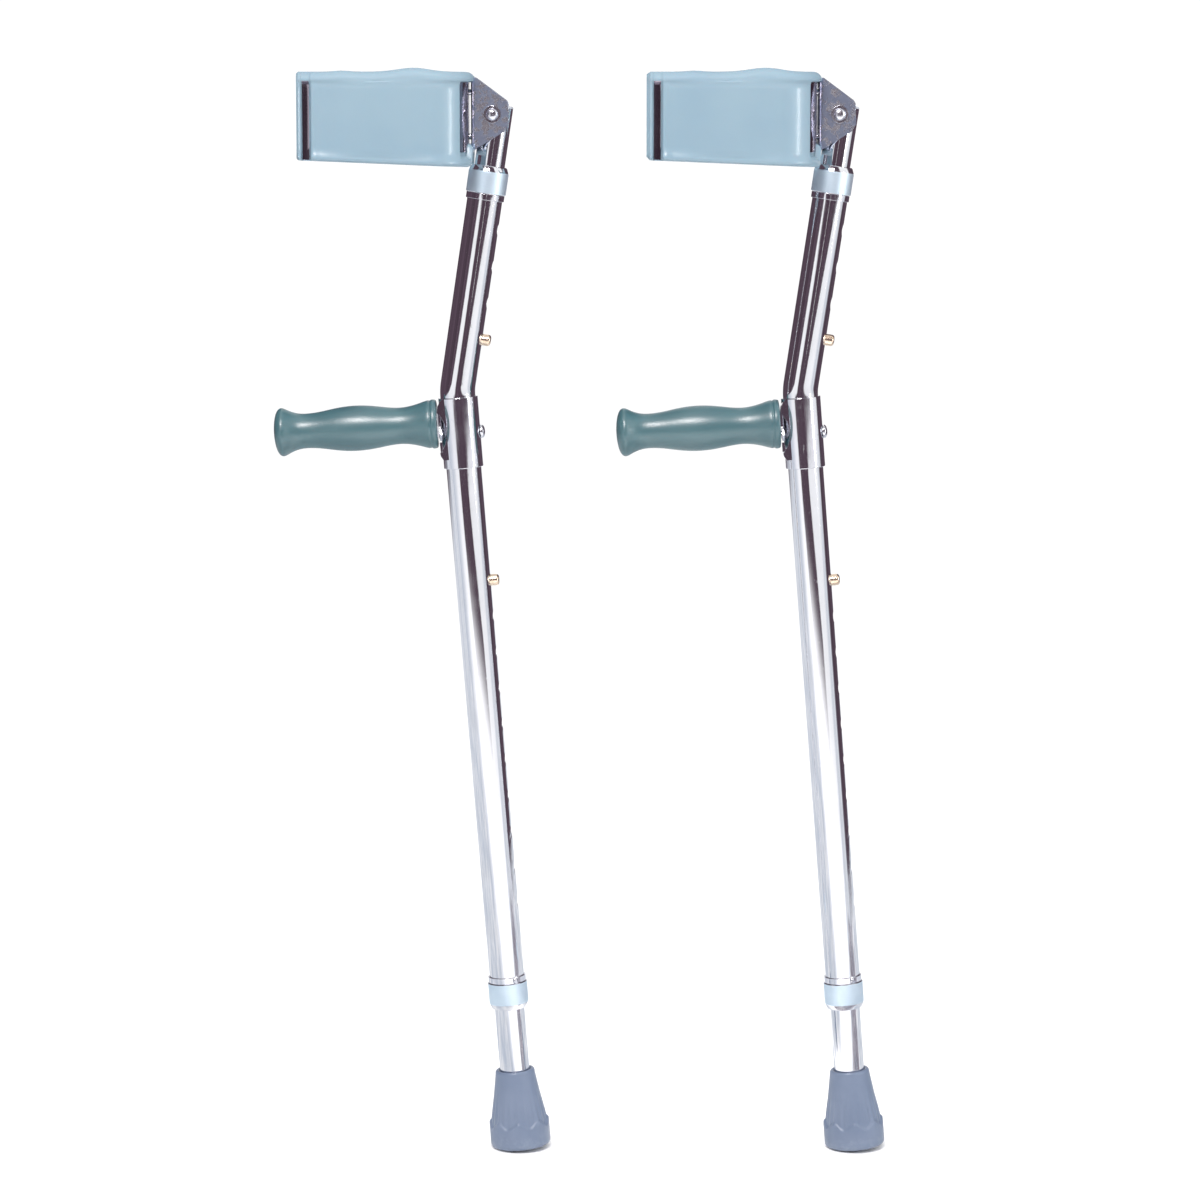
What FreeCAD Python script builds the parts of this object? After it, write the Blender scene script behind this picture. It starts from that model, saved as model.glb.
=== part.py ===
import FreeCAD, Part
import math
import os
import Sketcher
from FreeCAD import Placement, Rotation, Vector

# A pair of forearm crutches. Each crutch has an outer tube with a bend above the hand grip,
# a forearm tube that telescopes out of its top and carries a tilting cuff, and a leg tube that
# telescopes out of its bottom and ends in a rubber tip. Snap buttons lock both tubes.
#
# Frame of one crutch: +Z runs up the lower tube from the middle of the tip's face, +X points
# to the rear (the side of the button holes) and the grip points to -X. The finished crutch
# leans forwards by the angle "lean" about that point, and the second one stands behind it.

os.makedirs("parts", exist_ok=True)
doc = FreeCAD.newDocument("ForearmCrutches")

DRIVING_SIZES = [
    ("lean", 4.55, "degrees the lower tube leans forwards"),
    ("crutch_gap", 237.0, "distance from one crutch to the other along X"),
    ("hole_pitch", 25.4, "one inch between adjustment holes"),
    # outer tube
    ("outer_radius", 12.2, "outer tube"),
    ("outer_bore", 10.8, "inside radius of the outer tube"),
    ("outer_bottom", 107.0, "height of its lower end"),
    ("bend_height", 537.6, "height of the corner of the two straight axes"),
    ("bend_radius", 40.0, "centre line radius of the bend"),
    ("bend_angle", 13.0, "degrees the upper part turns to the rear"),
    ("outer_top", 150.0, "upper end, measured along the upper axis"),
    ("leg_lock", 403.9, "height of the lower snap button"),
    ("forearm_lock", 37.2, "upper snap button along the upper axis"),
    ("lock_hole", 4.2, "radius of a button hole"),
    # telescoping tubes
    ("inner_radius", 10.5, "leg and forearm tubes"),
    ("inner_bore", 9.3, "their inside radius"),
    ("leg_bottom", 10.0, "leg tube's lower end, on the tip's washer"),
    ("leg_top", 440.0, "leg tube's upper end"),
    ("forearm_bottom", 20.0, "along the upper axis"),
    ("forearm_top", 196.4, "along the upper axis, without its cap"),
    ("cap_flange", 1.5, "thickness of the end cap's rim"),
    ("cap_plug", 9.2, "radius of the cap's plug"),
    ("cap_depth", 2.5, "depth of the plug, short of the pivot bolt"),
    ("cap_chamfer", 0.6, "bevel round the cap's rim"),
    # collars
    ("collar_radius", 13.8, "band of the collar"),
    ("collar_mouth", 11.9, "radius at its free end"),
    ("collar_shoulder", 4.5, "length of the rounded shoulder"),
    ("collar_blend", 0.5, "rounding of the shoulder, across"),
    ("collar_blend_length", 1.2, "rounding of the shoulder, along"),
    ("collar_length", 19.0, "without the clamp ring"),
    ("collar_lip", 1.2, "thickness of the lip that holds the bush"),
    ("collar_lip_bore", 11.2, "radius inside the lip"),
    ("ring_radius", 13.2, "clamp ring"),
    ("ring_length", 4.4, "clamp ring"),
    ("ring_slit", 1.6, "gap in the clamp ring"),
    ("bush_bore", 10.6, "running fit on the inner tube"),
    ("bush_end", 6.0, "nylon bush, inner end from the collar's free end"),
    ("lower_collar_end", 99.6, "free end of the lower collar"),
    ("upper_collar_end", 156.0, "free end of the upper collar"),
    ("screw_head", 2.1, "collar screw head radius"),
    ("screw_shank", 1.2, "collar screw shank radius"),
    ("screw_gap", 0.1, "between the screw's end and the tube"),
    ("screw_side", 0.7, "straight side of its head"),
    ("screw_crown", 0.8, "rounding of its head"),
    ("screw_height", 1.5, "height of its head"),
    # hand grip and its bracket
    ("sleeve_radius", 13.7, "bracket sleeve round the tube"),
    ("sleeve_bottom", 484.0, "height"),
    ("sleeve_top", 533.0, "height"),
    ("saddle_width", 20.0, "width of the saddle in front of the sleeve"),
    ("saddle_front", 15.2, "front face of the saddle"),
    ("saddle_foot", 6.5, "saddle's lower end above the sleeve's"),
    ("saddle_web", 2.4, "thickness of the web in the middle of the window"),
    ("nut_space", 5.5, "radius of the clearance round the nut"),
    ("window_radius", 19.8, "rounded opening through the saddle"),
    ("window_forward", 29.3, "its centre in front of the tube axis"),
    ("window_height", 509.6, "height of its centre"),
    ("grip_height", 515.1, "where the grip's axis meets the tube's"),
    ("grip_rise", 1.4, "degrees the grip rises to the front"),
    ("grip_start", 15.6, "rear face of the grip along its axis"),
    ("grip_end", 129.0, "front of its dome"),
    ("grip_flare", 17.1, "radius at the rear"),
    ("grip_rear_waist", 12.6, "radius"),
    ("grip_rear_waist_at", 39.2, "along the grip's axis"),
    ("grip_palm", 15.7, "radius of the swell under the palm"),
    ("grip_palm_at", 71.5, "along the grip's axis"),
    ("grip_front_waist", 11.9, "radius"),
    ("grip_front_waist_at", 107.3, "along the grip's axis"),
    ("grip_front_flare", 16.8, "radius"),
    ("grip_front_flare_at", 122.7, "along the grip's axis"),
    ("core_radius", 6.0, "steel core inside the grip"),
    ("core_end", 112.0, "front end of the core"),
    ("core_plate", 12.0, "radius of the plate at the core's rear end"),
    ("core_plate_end", 17.1, "front face of that plate"),
    ("bolt_height", 507.9, "through bolt of the bracket"),
    ("bolt_shank", 2.9, "radius"),
    ("bolt_hole", 3.0, "radius"),
    ("bolt_head", 4.6, "radius"),
    ("bolt_head_end", 16.8, "top of the domed head"),
    ("bolt_tail", 15.2, "front end of the bolt"),
    ("nut_radius", 5.0, "corner radius of the hexagon nut"),
    ("nut_front", 14.8, "front face of the nut"),
    ("nut_back", 12.4, "rear face of the nut"),
    # snap buttons
    ("button_radius", 4.0, "stem of a snap button"),
    ("button_flange", 5.0, "its flange inside the tube"),
    ("button_base", 6.2, "flange underside from the tube's axis"),
    ("button_flange_top", 7.6, "flange top from the tube's axis"),
    ("button_shoulder", 16.0, "where the dome starts"),
    ("button_top", 18.1, "top of the dome"),
    ("spring_width", 7.0, "leaf spring"),
    ("spring_leaf", 0.8, "thickness of the leaf"),
    ("spring_radius", 7.3, "outside radius of its bend"),
    ("spring_leg", 26.0, "length of a straight leg"),
    ("spring_tail", 6.0, "how far the legs pass the button"),
    # rubber tip
    ("tip_foot", 19.6, "radius of the flat face"),
    ("tip_flange", 21.2, "largest radius"),
    ("tip_flange_top", 17.6, "height of the flange"),
    ("tip_cone_base", 19.5, "radius above the flange"),
    ("tip_rim", 13.8, "radius at the top"),
    ("tip_rim_height", 52.8, "height where the top rim rounds off"),
    ("tip_height", 54.8, "whole height"),
    ("tip_floor", 8.0, "rubber under the washer"),
    ("tip_round", 2.2, "height of the rounded edge of the foot"),
    ("tip_bevel", 0.8, "bevel at the top of the flange"),
    ("tip_rim_bevel", 1.2, "bevel of the top rim"),
    # cuff, measured from its pivot in the level cuff frame
    ("pivot_along", 190.9, "pivot along the upper axis"),
    ("pivot_forward", 3.0, "pivot in front of the upper axis"),
    ("cuff_front", 131.0, "front edge in front of the pivot"),
    ("cuff_back", 14.4, "rear face in front of the pivot"),
    ("cuff_half_width", 46.0, "outside"),
    ("cuff_corner", 30.0, "outside radius of the rear corners"),
    ("cuff_wall", 4.4, "vinyl over the steel band"),
    ("cuff_top", 28.7, "above the pivot"),
    ("cuff_drop", 35.6, "rear lower edge below the pivot"),
    ("cuff_front_drop", 30.7, "front lower edge below the pivot"),
    ("cuff_bead", 3.6, "radius of the rolled front edge"),
    ("cuff_notch_half", 22.0, "half width of the notch under the bracket"),
    ("cuff_notch_top", 26.0, "top of that notch below the pivot"),
    ("band_inset", 1.5, "vinyl outside the steel band"),
    ("band_inner_inset", 2.9, "vinyl and steel outside the band's inner face"),
    ("band_front", 122.0, "front end of the steel band"),
    ("band_top", 23.0, "above the pivot"),
    ("band_drop", 25.5, "below the pivot"),
    ("ear_half_width", 13.0, "outside of the pivot bracket"),
    ("ear_gap_half", 11.0, "inside of the pivot bracket"),
    ("web_back", 12.6, "rear face of the web in front of the pivot"),
    ("web_top", 24.8, "above the pivot"),
    ("web_drop", 24.5, "below the pivot"),
    ("pivot_shank", 2.95, "pivot bolt radius"),
    ("pivot_hole", 3.0, "hole in the ears"),
    ("pivot_tube_hole", 3.03, "running hole in the forearm tube"),
    ("washer_radius", 6.0, "pivot washers"),
    ("washer_thickness", 1.0, "pivot washers"),
    ("pivot_head", 4.1, "domed head radius"),
    ("pivot_head_height", 2.8, "domed head"),
    ("pivot_nut_height", 3.6, "nut of the pivot bolt"),
    ("pivot_tail", 1.0, "bolt end past its nut"),
    ("rivet_radius", 2.0, "cuff rivets"),
    ("rivet_head", 3.4, "cuff rivet heads"),
    ("rivet_spread", 6.5, "half distance between rivets across"),
    ("rivet_rise", 15.0, "half distance between rivets in height"),
]

sheet = doc.addObject("Spreadsheet::Sheet", "Sizes")
cells = {}
for row, (alias, number, note) in enumerate(DRIVING_SIZES, start=1):
    sheet.set(f"A{row}", alias)
    sheet.set(f"B{row}", str(number))
    sheet.set(f"C{row}", note)
    sheet.setAlias(f"B{row}", alias)
    cells[alias] = number
doc.recompute()

Y_AXIS = Vector(0, 1, 0)
X_AXIS = Vector(1, 0, 0)
Z_AXIS = Vector(0, 0, 1)


# ---------------------------------------------------------------- expressions and sketches

def value(text):
    """The number that a sum such as "leg_top - cap_depth" stands for."""
    total = 0.0
    sign = 1.0
    for word in str(text).split():
        if word in ("+", "-"):
            sign = 1.0 if word == "+" else -1.0
        else:
            total += sign * (cells[word] if word in cells else float(word))
    return total


def bound(text):
    """The same sum as an expression on the cells of the sheet."""
    words = str(text).split()
    return " ".join("Sizes." + word if word in cells else word for word in words)


def bind(feature, **sizes):
    """Tie properties of a feature to sums of driving sizes."""
    for name, text in sizes.items():
        setattr(feature, name, value(text))
        feature.setExpression(name, bound(text))
    return feature


def plane_of(body, role):
    return next(item for item in body.Origin.OriginFeatures if item.Role == role)


def new_sketch(body, name, role, offset=None):
    sketch = body.newObject("Sketcher::SketchObject", name)
    sketch.AttachmentSupport = [(plane_of(body, role), "")]
    sketch.MapMode = "FlatFace"
    if offset is not None:
        sketch.AttachmentOffset = offset
    return sketch


def fix_point(sketch, geometry, point, x_text, y_text):
    """Hold one point of a sketch at a pair of sums, or on an axis where a sum is 0."""
    for kind, text, axis in (("DistanceX", x_text, -2), ("DistanceY", y_text, -1)):
        if str(text) == "0":
            sketch.addConstraint(Sketcher.Constraint("PointOnObject", geometry, point, axis))
            continue
        rule = Sketcher.Constraint(kind, -1, 1, geometry, point, value(text))
        index = sketch.addConstraint(rule)
        sketch.setExpression(f"Constraints[{index}]", bound(text))


def draw_outline(sketch, points):
    """A closed outline of straight edges through points given as sums."""
    count = len(points)
    corners = [Vector(value(x), value(y), 0) for x, y in points]
    for i in range(count):
        sketch.addGeometry(Part.LineSegment(corners[i], corners[(i + 1) % count]))
    for i in range(count):
        after = (i + 1) % count
        sketch.addConstraint(Sketcher.Constraint("Coincident", i, 2, after, 1))
    for i, (x, y) in enumerate(points):
        fix_point(sketch, i, 1, x, y)


def draw_circle(sketch, x_text, y_text, radius_text):
    middle = Vector(value(x_text), value(y_text), 0)
    index = sketch.addGeometry(Part.Circle(middle, Z_AXIS, value(radius_text)))
    fix_point(sketch, index, 3, x_text, y_text)
    rule = sketch.addConstraint(Sketcher.Constraint("Radius", index, value(radius_text)))
    sketch.setExpression(f"Constraints[{rule}]", bound(radius_text))


# ---------------------------------------------------------------- ways of making a piece

def turned(name, points):
    """A piece turned about its own Z axis from an outline of (radius, height) points."""
    body = doc.addObject("PartDesign::Body", name)
    sketch = new_sketch(body, name + "_outline", "XZ_Plane")
    draw_outline(sketch, points)
    turn = body.newObject("PartDesign::Revolution", name + "_turn")
    turn.Profile = sketch
    turn.ReferenceAxis = (sketch, ["V_Axis"])
    turn.Angle = 360
    body.Tip = turn
    return body


def plate(name, points, width_text):
    """A piece cut from sheet: an XZ outline padded to both sides of the XZ plane."""
    body = doc.addObject("PartDesign::Body", name)
    sketch = new_sketch(body, name + "_outline", "XZ_Plane")
    draw_outline(sketch, points)
    pad = body.newObject("PartDesign::Pad", name + "_pad")
    pad.Profile = sketch
    pad.SideType = "Symmetric"
    bind(pad, Length=width_text)
    body.Tip = pad
    return body


def cylinder(name, radius_text, height_text, placement=None):
    feature = doc.addObject("Part::Cylinder", name)
    bind(feature, Radius=radius_text, Height=height_text)
    feature.Placement = placement or Placement()
    return feature


def cut(name, base, tool):
    feature = doc.addObject("Part::Cut", name)
    feature.Base = base
    feature.Tool = tool
    return feature


def fuse(name, pieces):
    feature = doc.addObject("Part::MultiFuse", name)
    feature.Shapes = pieces
    return feature


def group(name, pieces):
    """Identical fasteners that share one node as separate solids."""
    feature = doc.addObject("Part::Compound", name)
    feature.Links = pieces
    return feature


def at(x=0.0, y=0.0, z=0.0, axis=Y_AXIS, angle=0.0):
    return Placement(Vector(x, y, z), Rotation(axis, angle))


# ---------------------------------------------------------------- tubes

def outer_tube(name):
    """The bent outer tube, with the two rows of button holes and the bolt's holes."""
    body = doc.addObject("PartDesign::Body", name)
    ring = new_sketch(body, name + "_section", "XY_Plane", at(z=value("outer_bottom")))
    ring.setExpression("AttachmentOffset.Base.z", bound("outer_bottom"))
    draw_circle(ring, "0", "0", "outer_radius")
    draw_circle(ring, "0", "0", "outer_bore")

    turn = math.radians(value("bend_angle"))
    radius = value("bend_radius")
    tangent = radius * math.tan(turn / 2)
    start = Vector(0, value("outer_bottom"), 0)
    first = Vector(0, value("bend_height") - tangent, 0)
    centre = Vector(radius, first.y, 0)
    second = centre + Vector(-radius * math.cos(turn), radius * math.sin(turn), 0)
    reach = value("outer_top")
    corner = Vector(0, value("bend_height"), 0)
    end = corner + Vector(reach * math.sin(turn), reach * math.cos(turn), 0)
    path = new_sketch(body, name + "_path", "XZ_Plane")
    path.addGeometry(Part.LineSegment(start, first))
    bend = Part.Circle(centre, Z_AXIS, radius)
    path.addGeometry(Part.ArcOfCircle(bend, math.pi - turn, math.pi))
    path.addGeometry(Part.LineSegment(second, end))
    path.addConstraint(Sketcher.Constraint("Tangent", 0, 2, 1, 2))
    path.addConstraint(Sketcher.Constraint("Tangent", 1, 1, 2, 1))
    fix_point(path, 0, 1, "0", "outer_bottom")
    path.addConstraint(Sketcher.Constraint("Vertical", 0))
    rule = path.addConstraint(Sketcher.Constraint("Radius", 1, radius))
    path.setExpression(f"Constraints[{rule}]", bound("bend_radius"))
    rule = path.addConstraint(Sketcher.Constraint("DistanceY", -1, 1, 0, 2, first.y))
    path.setExpression(
        f"Constraints[{rule}]",
        "Sizes.bend_height - Sizes.bend_radius * tan(Sizes.bend_angle * 1 deg / 2)")
    rule = path.addConstraint(Sketcher.Constraint("DistanceX", -1, 1, 2, 2, end.x))
    path.setExpression(
        f"Constraints[{rule}]", "Sizes.outer_top * sin(Sizes.bend_angle * 1 deg)")
    rule = path.addConstraint(Sketcher.Constraint("DistanceY", -1, 1, 2, 2, end.y))
    path.setExpression(
        f"Constraints[{rule}]",
        "Sizes.bend_height + Sizes.outer_top * cos(Sizes.bend_angle * 1 deg)")

    pipe = body.newObject("PartDesign::AdditivePipe", name + "_pipe")
    pipe.Profile = ring
    pipe.Spine = (path, ["Edge1", "Edge2", "Edge3"])
    body.Tip = pipe
    doc.recompute()

    lower = new_sketch(body, name + "_leg_holes", "YZ_Plane")
    draw_hole_row(lower, "leg_lock", LEG_HOLES, -1)
    drill(body, lower, name + "_leg_drill")
    tilt = Placement(Vector(0, value("bend_height"), 0), Rotation(X_AXIS, value("bend_angle")))
    upper = new_sketch(body, name + "_forearm_holes", "YZ_Plane", tilt)
    draw_hole_row(upper, "forearm_lock", FOREARM_HOLES, 1)
    drill(body, upper, name + "_forearm_drill")
    across = new_sketch(body, name + "_bolt_holes", "YZ_Plane")
    draw_circle(across, "0", "bolt_height", "bolt_hole")
    drill(body, across, name + "_bolt_drill", both=True)
    return body


LEG_HOLES = 10
FOREARM_HOLES = 4


def draw_hole_row(sketch, first_text, count, step):
    """Button holes one pitch apart, counted up (step 1) or down (step -1) the tube."""
    for i in range(count):
        height = value(first_text) + step * i * value("hole_pitch")
        middle = Vector(0, height, 0)
        index = sketch.addGeometry(Part.Circle(middle, Z_AXIS, value("lock_hole")))
        sketch.addConstraint(Sketcher.Constraint("PointOnObject", index, 3, -2))
        rule = sketch.addConstraint(
            Sketcher.Constraint("DistanceY", -1, 1, index, 3, height))
        sketch.setExpression(
            f"Constraints[{rule}]", f"Sizes.{first_text} + {step * i} * Sizes.hole_pitch")
        rule = sketch.addConstraint(
            Sketcher.Constraint("Radius", index, value("lock_hole")))
        sketch.setExpression(f"Constraints[{rule}]", bound("lock_hole"))


def drill(body, sketch, name, both=False):
    """Drill a sketch's circles through the rear wall, or through both walls."""
    before = body.Tip.Shape.Volume
    pocket = body.newObject("PartDesign::Pocket", name)
    pocket.Profile = sketch
    pocket.SideType = "Symmetric" if both else "One side"
    pocket.Reversed = not both
    bind(pocket, Length="outer_radius + outer_radius + outer_radius")
    body.Tip = pocket
    doc.recompute()
    if pocket.Shape.Volume > before - 1.0:
        raise RuntimeError(name + " removed nothing")


def inner_tube(name, bottom_text, top_text):
    return turned(name, [
        ("inner_bore", bottom_text),
        ("inner_radius", bottom_text),
        ("inner_radius", top_text),
        ("inner_bore", top_text),
    ])


def leg_tube(name):
    tube = inner_tube(name, "leg_bottom", "leg_top")
    hole = new_sketch(tube, name + "_hole", "YZ_Plane")
    draw_hole_row(hole, "leg_lock", 1, 1)
    doc.recompute()
    drill(tube, hole, name + "_drill")
    return tube


def forearm_tube(name):
    """The forearm tube, with its button's hole and the off-centre pivot holes."""
    tube = inner_tube(name, "forearm_bottom", "forearm_top")
    hole = new_sketch(tube, name + "_hole", "YZ_Plane")
    draw_hole_row(hole, "forearm_lock", 1, 1)
    doc.recompute()
    drill(tube, hole, name + "_drill")
    pivot = new_sketch(tube, name + "_pivot", "XZ_Plane")
    draw_circle(pivot, "0 - pivot_forward", "pivot_along", "pivot_tube_hole")
    drill(tube, pivot, name + "_pivot_drill", both=True)
    return tube


def tube_cap(name):
    """Plastic plug that closes the top of the forearm tube."""
    return turned(name, [
        ("0", "forearm_top - cap_depth"),
        ("cap_plug", "forearm_top - cap_depth"),
        ("cap_plug", "forearm_top"),
        ("inner_radius", "forearm_top"),
        ("inner_radius - cap_chamfer", "forearm_top + cap_flange"),
        ("0", "forearm_top + cap_flange"),
    ])


# ---------------------------------------------------------------- collars
# A collar is drawn from its free end: +Z runs along the outer tube.

def collar(name):
    return turned(name, [
        ("collar_lip_bore", "0"),
        ("collar_mouth", "0"),
        ("collar_radius - collar_blend", "collar_shoulder - collar_blend_length"),
        ("collar_radius", "collar_shoulder"),
        ("collar_radius", "collar_length"),
        ("outer_radius", "collar_length"),
        ("outer_radius", "collar_lip"),
        ("collar_lip_bore", "collar_lip"),
    ])


def collar_bush(name):
    """Nylon bush between the lip of the collar and the end of the outer tube."""
    return turned(name, [
        ("bush_bore", "collar_lip"),
        ("outer_radius", "collar_lip"),
        ("outer_radius", "bush_end"),
        ("bush_bore", "bush_end"),
    ])


SCREW_AZIMUTH = -62.0


def collar_ring(name):
    """Split clamp ring above the collar, with the hole of its screw."""
    ring = turned(name + "_band", [
        ("outer_radius", "collar_length"),
        ("ring_radius", "collar_length"),
        ("ring_radius", "collar_length + ring_length"),
        ("outer_radius", "collar_length + ring_length"),
    ])
    slit = doc.addObject("Part::Box", name + "_slit")
    bind(slit, Length="ring_radius", Width="ring_slit", Height="collar_length + ring_length")
    slit.Placement = at(x=value("ring_radius") * 0.5, y=-value("ring_slit") / 2)
    hole = cylinder(name + "_hole", "screw_shank + 0.05", "ring_radius + 5", ring_screw_place())
    return cut(name, ring, fuse(name + "_openings", [slit, hole]))


def ring_screw_place():
    """A radial axis through the middle of the clamp ring, on the outer near side."""
    middle = value("collar_length") + value("ring_length") / 2
    outwards = Rotation(Z_AXIS, SCREW_AZIMUTH).multiply(Rotation(Y_AXIS, 90))
    return Placement(Vector(0, 0, middle), outwards)


def ring_screw(name):
    return turned(name, [
        ("0", "outer_radius + screw_gap"),
        ("screw_shank", "outer_radius + screw_gap"),
        ("screw_shank", "ring_radius"),
        ("screw_head", "ring_radius"),
        ("screw_head", "ring_radius + screw_side"),
        ("screw_head - screw_crown", "ring_radius + screw_side + screw_side"),
        ("0", "ring_radius + screw_height"),
    ])


# ---------------------------------------------------------------- hand grip and bracket

SADDLE_OUTLINE = [
    ("-6", "sleeve_top"),
    ("-10.6", "sleeve_top"),
    ("-12.8", "sleeve_top - 2"),
    ("-14.4", "sleeve_top - 5"),
    ("0 - saddle_front", "sleeve_top - 10"),
    ("0 - saddle_front", "sleeve_bottom + saddle_foot + 7"),
    ("-14.9", "sleeve_bottom + saddle_foot + 3.5"),
    ("-13.2", "sleeve_bottom + saddle_foot"),
    ("-6", "sleeve_bottom + saddle_foot"),
]


def handle_bracket(name):
    """Sleeve pressed round the tube, with a saddle in front that carries the grip. The
    saddle is scooped out from both sides down to a web, where the nut of the bolt sits."""
    sleeve = cylinder(name + "_sleeve", "sleeve_radius", "sleeve_top - sleeve_bottom",
                      at(z=value("sleeve_bottom")))
    saddle = plate(name + "_saddle", SADDLE_OUTLINE, "saddle_width")
    window = cylinder(name + "_window", "window_radius", "saddle_width + saddle_width",
                      at(-value("window_forward"), value("saddle_width"),
                         value("window_height"), X_AXIS, 90))
    cheeks = cut(name + "_cheeks", fuse(name + "_block", [sleeve, saddle]), window)
    web = plate(name + "_web", SADDLE_OUTLINE, "saddle_web")
    bore = cylinder(name + "_bore", "outer_radius", "sleeve_top", at())
    bolt_hole = cylinder(name + "_bolt_hole", "bolt_hole", "sleeve_radius + sleeve_radius",
                         at(z=value("bolt_height"), angle=90))
    nut_room = cylinder(name + "_nut_room", "nut_space", "sleeve_radius",
                        at(x=-value("outer_radius") + 1, z=value("bolt_height"), angle=-90))
    whole = fuse(name + "_whole", [cheeks, web])
    return cut(name, whole, fuse(name + "_openings", [bore, bolt_hole, nut_room]))


def handle_core(name):
    """Steel rod inside the grip, on the plate that is welded to the saddle."""
    return turned(name, [
        ("0", "grip_start"),
        ("core_plate", "grip_start"),
        ("core_plate", "core_plate_end"),
        ("core_radius", "core_plate_end"),
        ("core_radius", "core_end"),
        ("0", "core_end"),
    ])


def hand_grip(name):
    """Moulded grip, turned: two flares, two waists and the swell under the palm."""
    return turned(name, [
        ("core_plate", "grip_start"),
        ("grip_flare - 0.6", "grip_start"),
        ("grip_flare", "grip_start + 2.6"),
        ("grip_flare - 0.4", "grip_start + 5.4"),
        ("grip_rear_waist + 2.4", "grip_rear_waist_at - 11"),
        ("grip_rear_waist + 0.7", "grip_rear_waist_at - 5.5"),
        ("grip_rear_waist", "grip_rear_waist_at"),
        ("grip_rear_waist + 0.6", "grip_rear_waist_at + 9"),
        ("grip_palm - 0.9", "grip_palm_at - 12"),
        ("grip_palm - 0.1", "grip_palm_at - 4"),
        ("grip_palm - 0.1", "grip_palm_at + 4"),
        ("grip_palm - 0.9", "grip_palm_at + 13"),
        ("grip_front_waist + 1", "grip_front_waist_at - 10"),
        ("grip_front_waist", "grip_front_waist_at - 2"),
        ("grip_front_waist + 0.3", "grip_front_waist_at + 3"),
        ("grip_front_waist + 1.8", "grip_front_waist_at + 8.5"),
        ("grip_front_flare - 0.4", "grip_front_flare_at - 1.2"),
        ("grip_front_flare", "grip_front_flare_at"),
        ("grip_front_flare - 0.7", "grip_front_flare_at + 1.5"),
        ("grip_front_flare - 5", "grip_end - 1.6"),
        ("grip_front_flare - 10", "grip_end - 0.5"),
        ("0", "grip_end"),
        ("0", "core_end"),
        ("core_radius", "core_end"),
        ("core_radius", "core_plate_end"),
        ("core_plate", "core_plate_end"),
    ])


def bracket_bolt(name):
    """Domed through bolt: its own +Z points to the rear of the crutch."""
    return turned(name, [
        ("0", "0 - bolt_tail"),
        ("bolt_shank", "0 - bolt_tail"),
        ("bolt_shank", "sleeve_radius"),
        ("bolt_head", "sleeve_radius"),
        ("bolt_head", "sleeve_radius + 0.8"),
        ("bolt_head - 1", "bolt_head_end - 0.9"),
        ("bolt_head - 2.6", "bolt_head_end - 0.2"),
        ("0", "bolt_head_end"),
    ])


def hexagon_nut(name, radius_text, low_text, height_text, bore_text):
    """A hexagon nut that stands on Z = low."""
    blank = doc.addObject("Part::Prism", name + "_blank")
    blank.Polygon = 6
    bind(blank, Circumradius=radius_text, Height=height_text)
    blank.Placement = at(z=value(low_text))
    bore = cylinder(name + "_bore", bore_text, low_text + " + " + height_text, at())
    return cut(name, blank, bore)


# ---------------------------------------------------------------- snap buttons

def snap_button(name):
    """Brass button: its own +Z points out of the tube."""
    return turned(name, [
        ("0", "button_base"),
        ("button_flange", "button_base"),
        ("button_flange", "button_flange_top"),
        ("button_radius", "button_flange_top"),
        ("button_radius", "button_shoulder"),
        ("button_radius - 0.5", "button_shoulder + 1.1"),
        ("button_radius - 1.6", "button_top - 0.3"),
        ("0", "button_top"),
    ])


def button_spring(name):
    """Leaf spring bent to a U: the rear leg carries the button, the front leg the wall."""
    middle = value("button_base") - value("spring_radius")
    half = value("spring_width") / 2
    legs = []
    for side, low_x in (("rear", value("button_base") - value("spring_leaf")),
                        ("front", middle - value("spring_radius"))):
        leg = doc.addObject("Part::Box", name + "_" + side)
        bind(leg, Length="spring_leaf", Width="spring_width", Height="spring_leg")
        leg.Placement = at(low_x, -half, -value("spring_tail"))
        legs.append(leg)
    top = value("spring_leg") - value("spring_tail")
    turn = at(middle, half, top, X_AXIS, 90)
    outside = cylinder(name + "_bend_out", "spring_radius", "spring_width", turn)
    outside.Angle = 180
    inside = cylinder(name + "_bend_in", "spring_radius - spring_leaf", "spring_width", turn)
    bend = cut(name + "_bend", outside, inside)
    return fuse(name, legs + [bend])


# ---------------------------------------------------------------- rubber tip

def rubber_tip(name):
    return turned(name, [
        ("0", "0"),
        ("tip_foot", "0"),
        ("tip_flange", "tip_round"),
        ("tip_flange", "tip_flange_top - tip_bevel"),
        ("tip_flange - tip_bevel", "tip_flange_top"),
        ("tip_cone_base", "tip_flange_top + tip_bevel"),
        ("tip_rim", "tip_rim_height"),
        ("tip_rim - tip_rim_bevel", "tip_height"),
        ("inner_radius", "tip_height"),
        ("inner_radius", "tip_floor"),
        ("0", "tip_floor"),
    ])


def tip_washer(name):
    """Steel disc that keeps the tube's end from cutting through the rubber."""
    return turned(name, [
        ("0", "tip_floor"),
        ("inner_radius", "tip_floor"),
        ("inner_radius", "leg_bottom"),
        ("0", "leg_bottom"),
    ])


# ---------------------------------------------------------------- cuff
# Everything from here on is drawn from the pivot in the level frame of the cuff.

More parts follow.
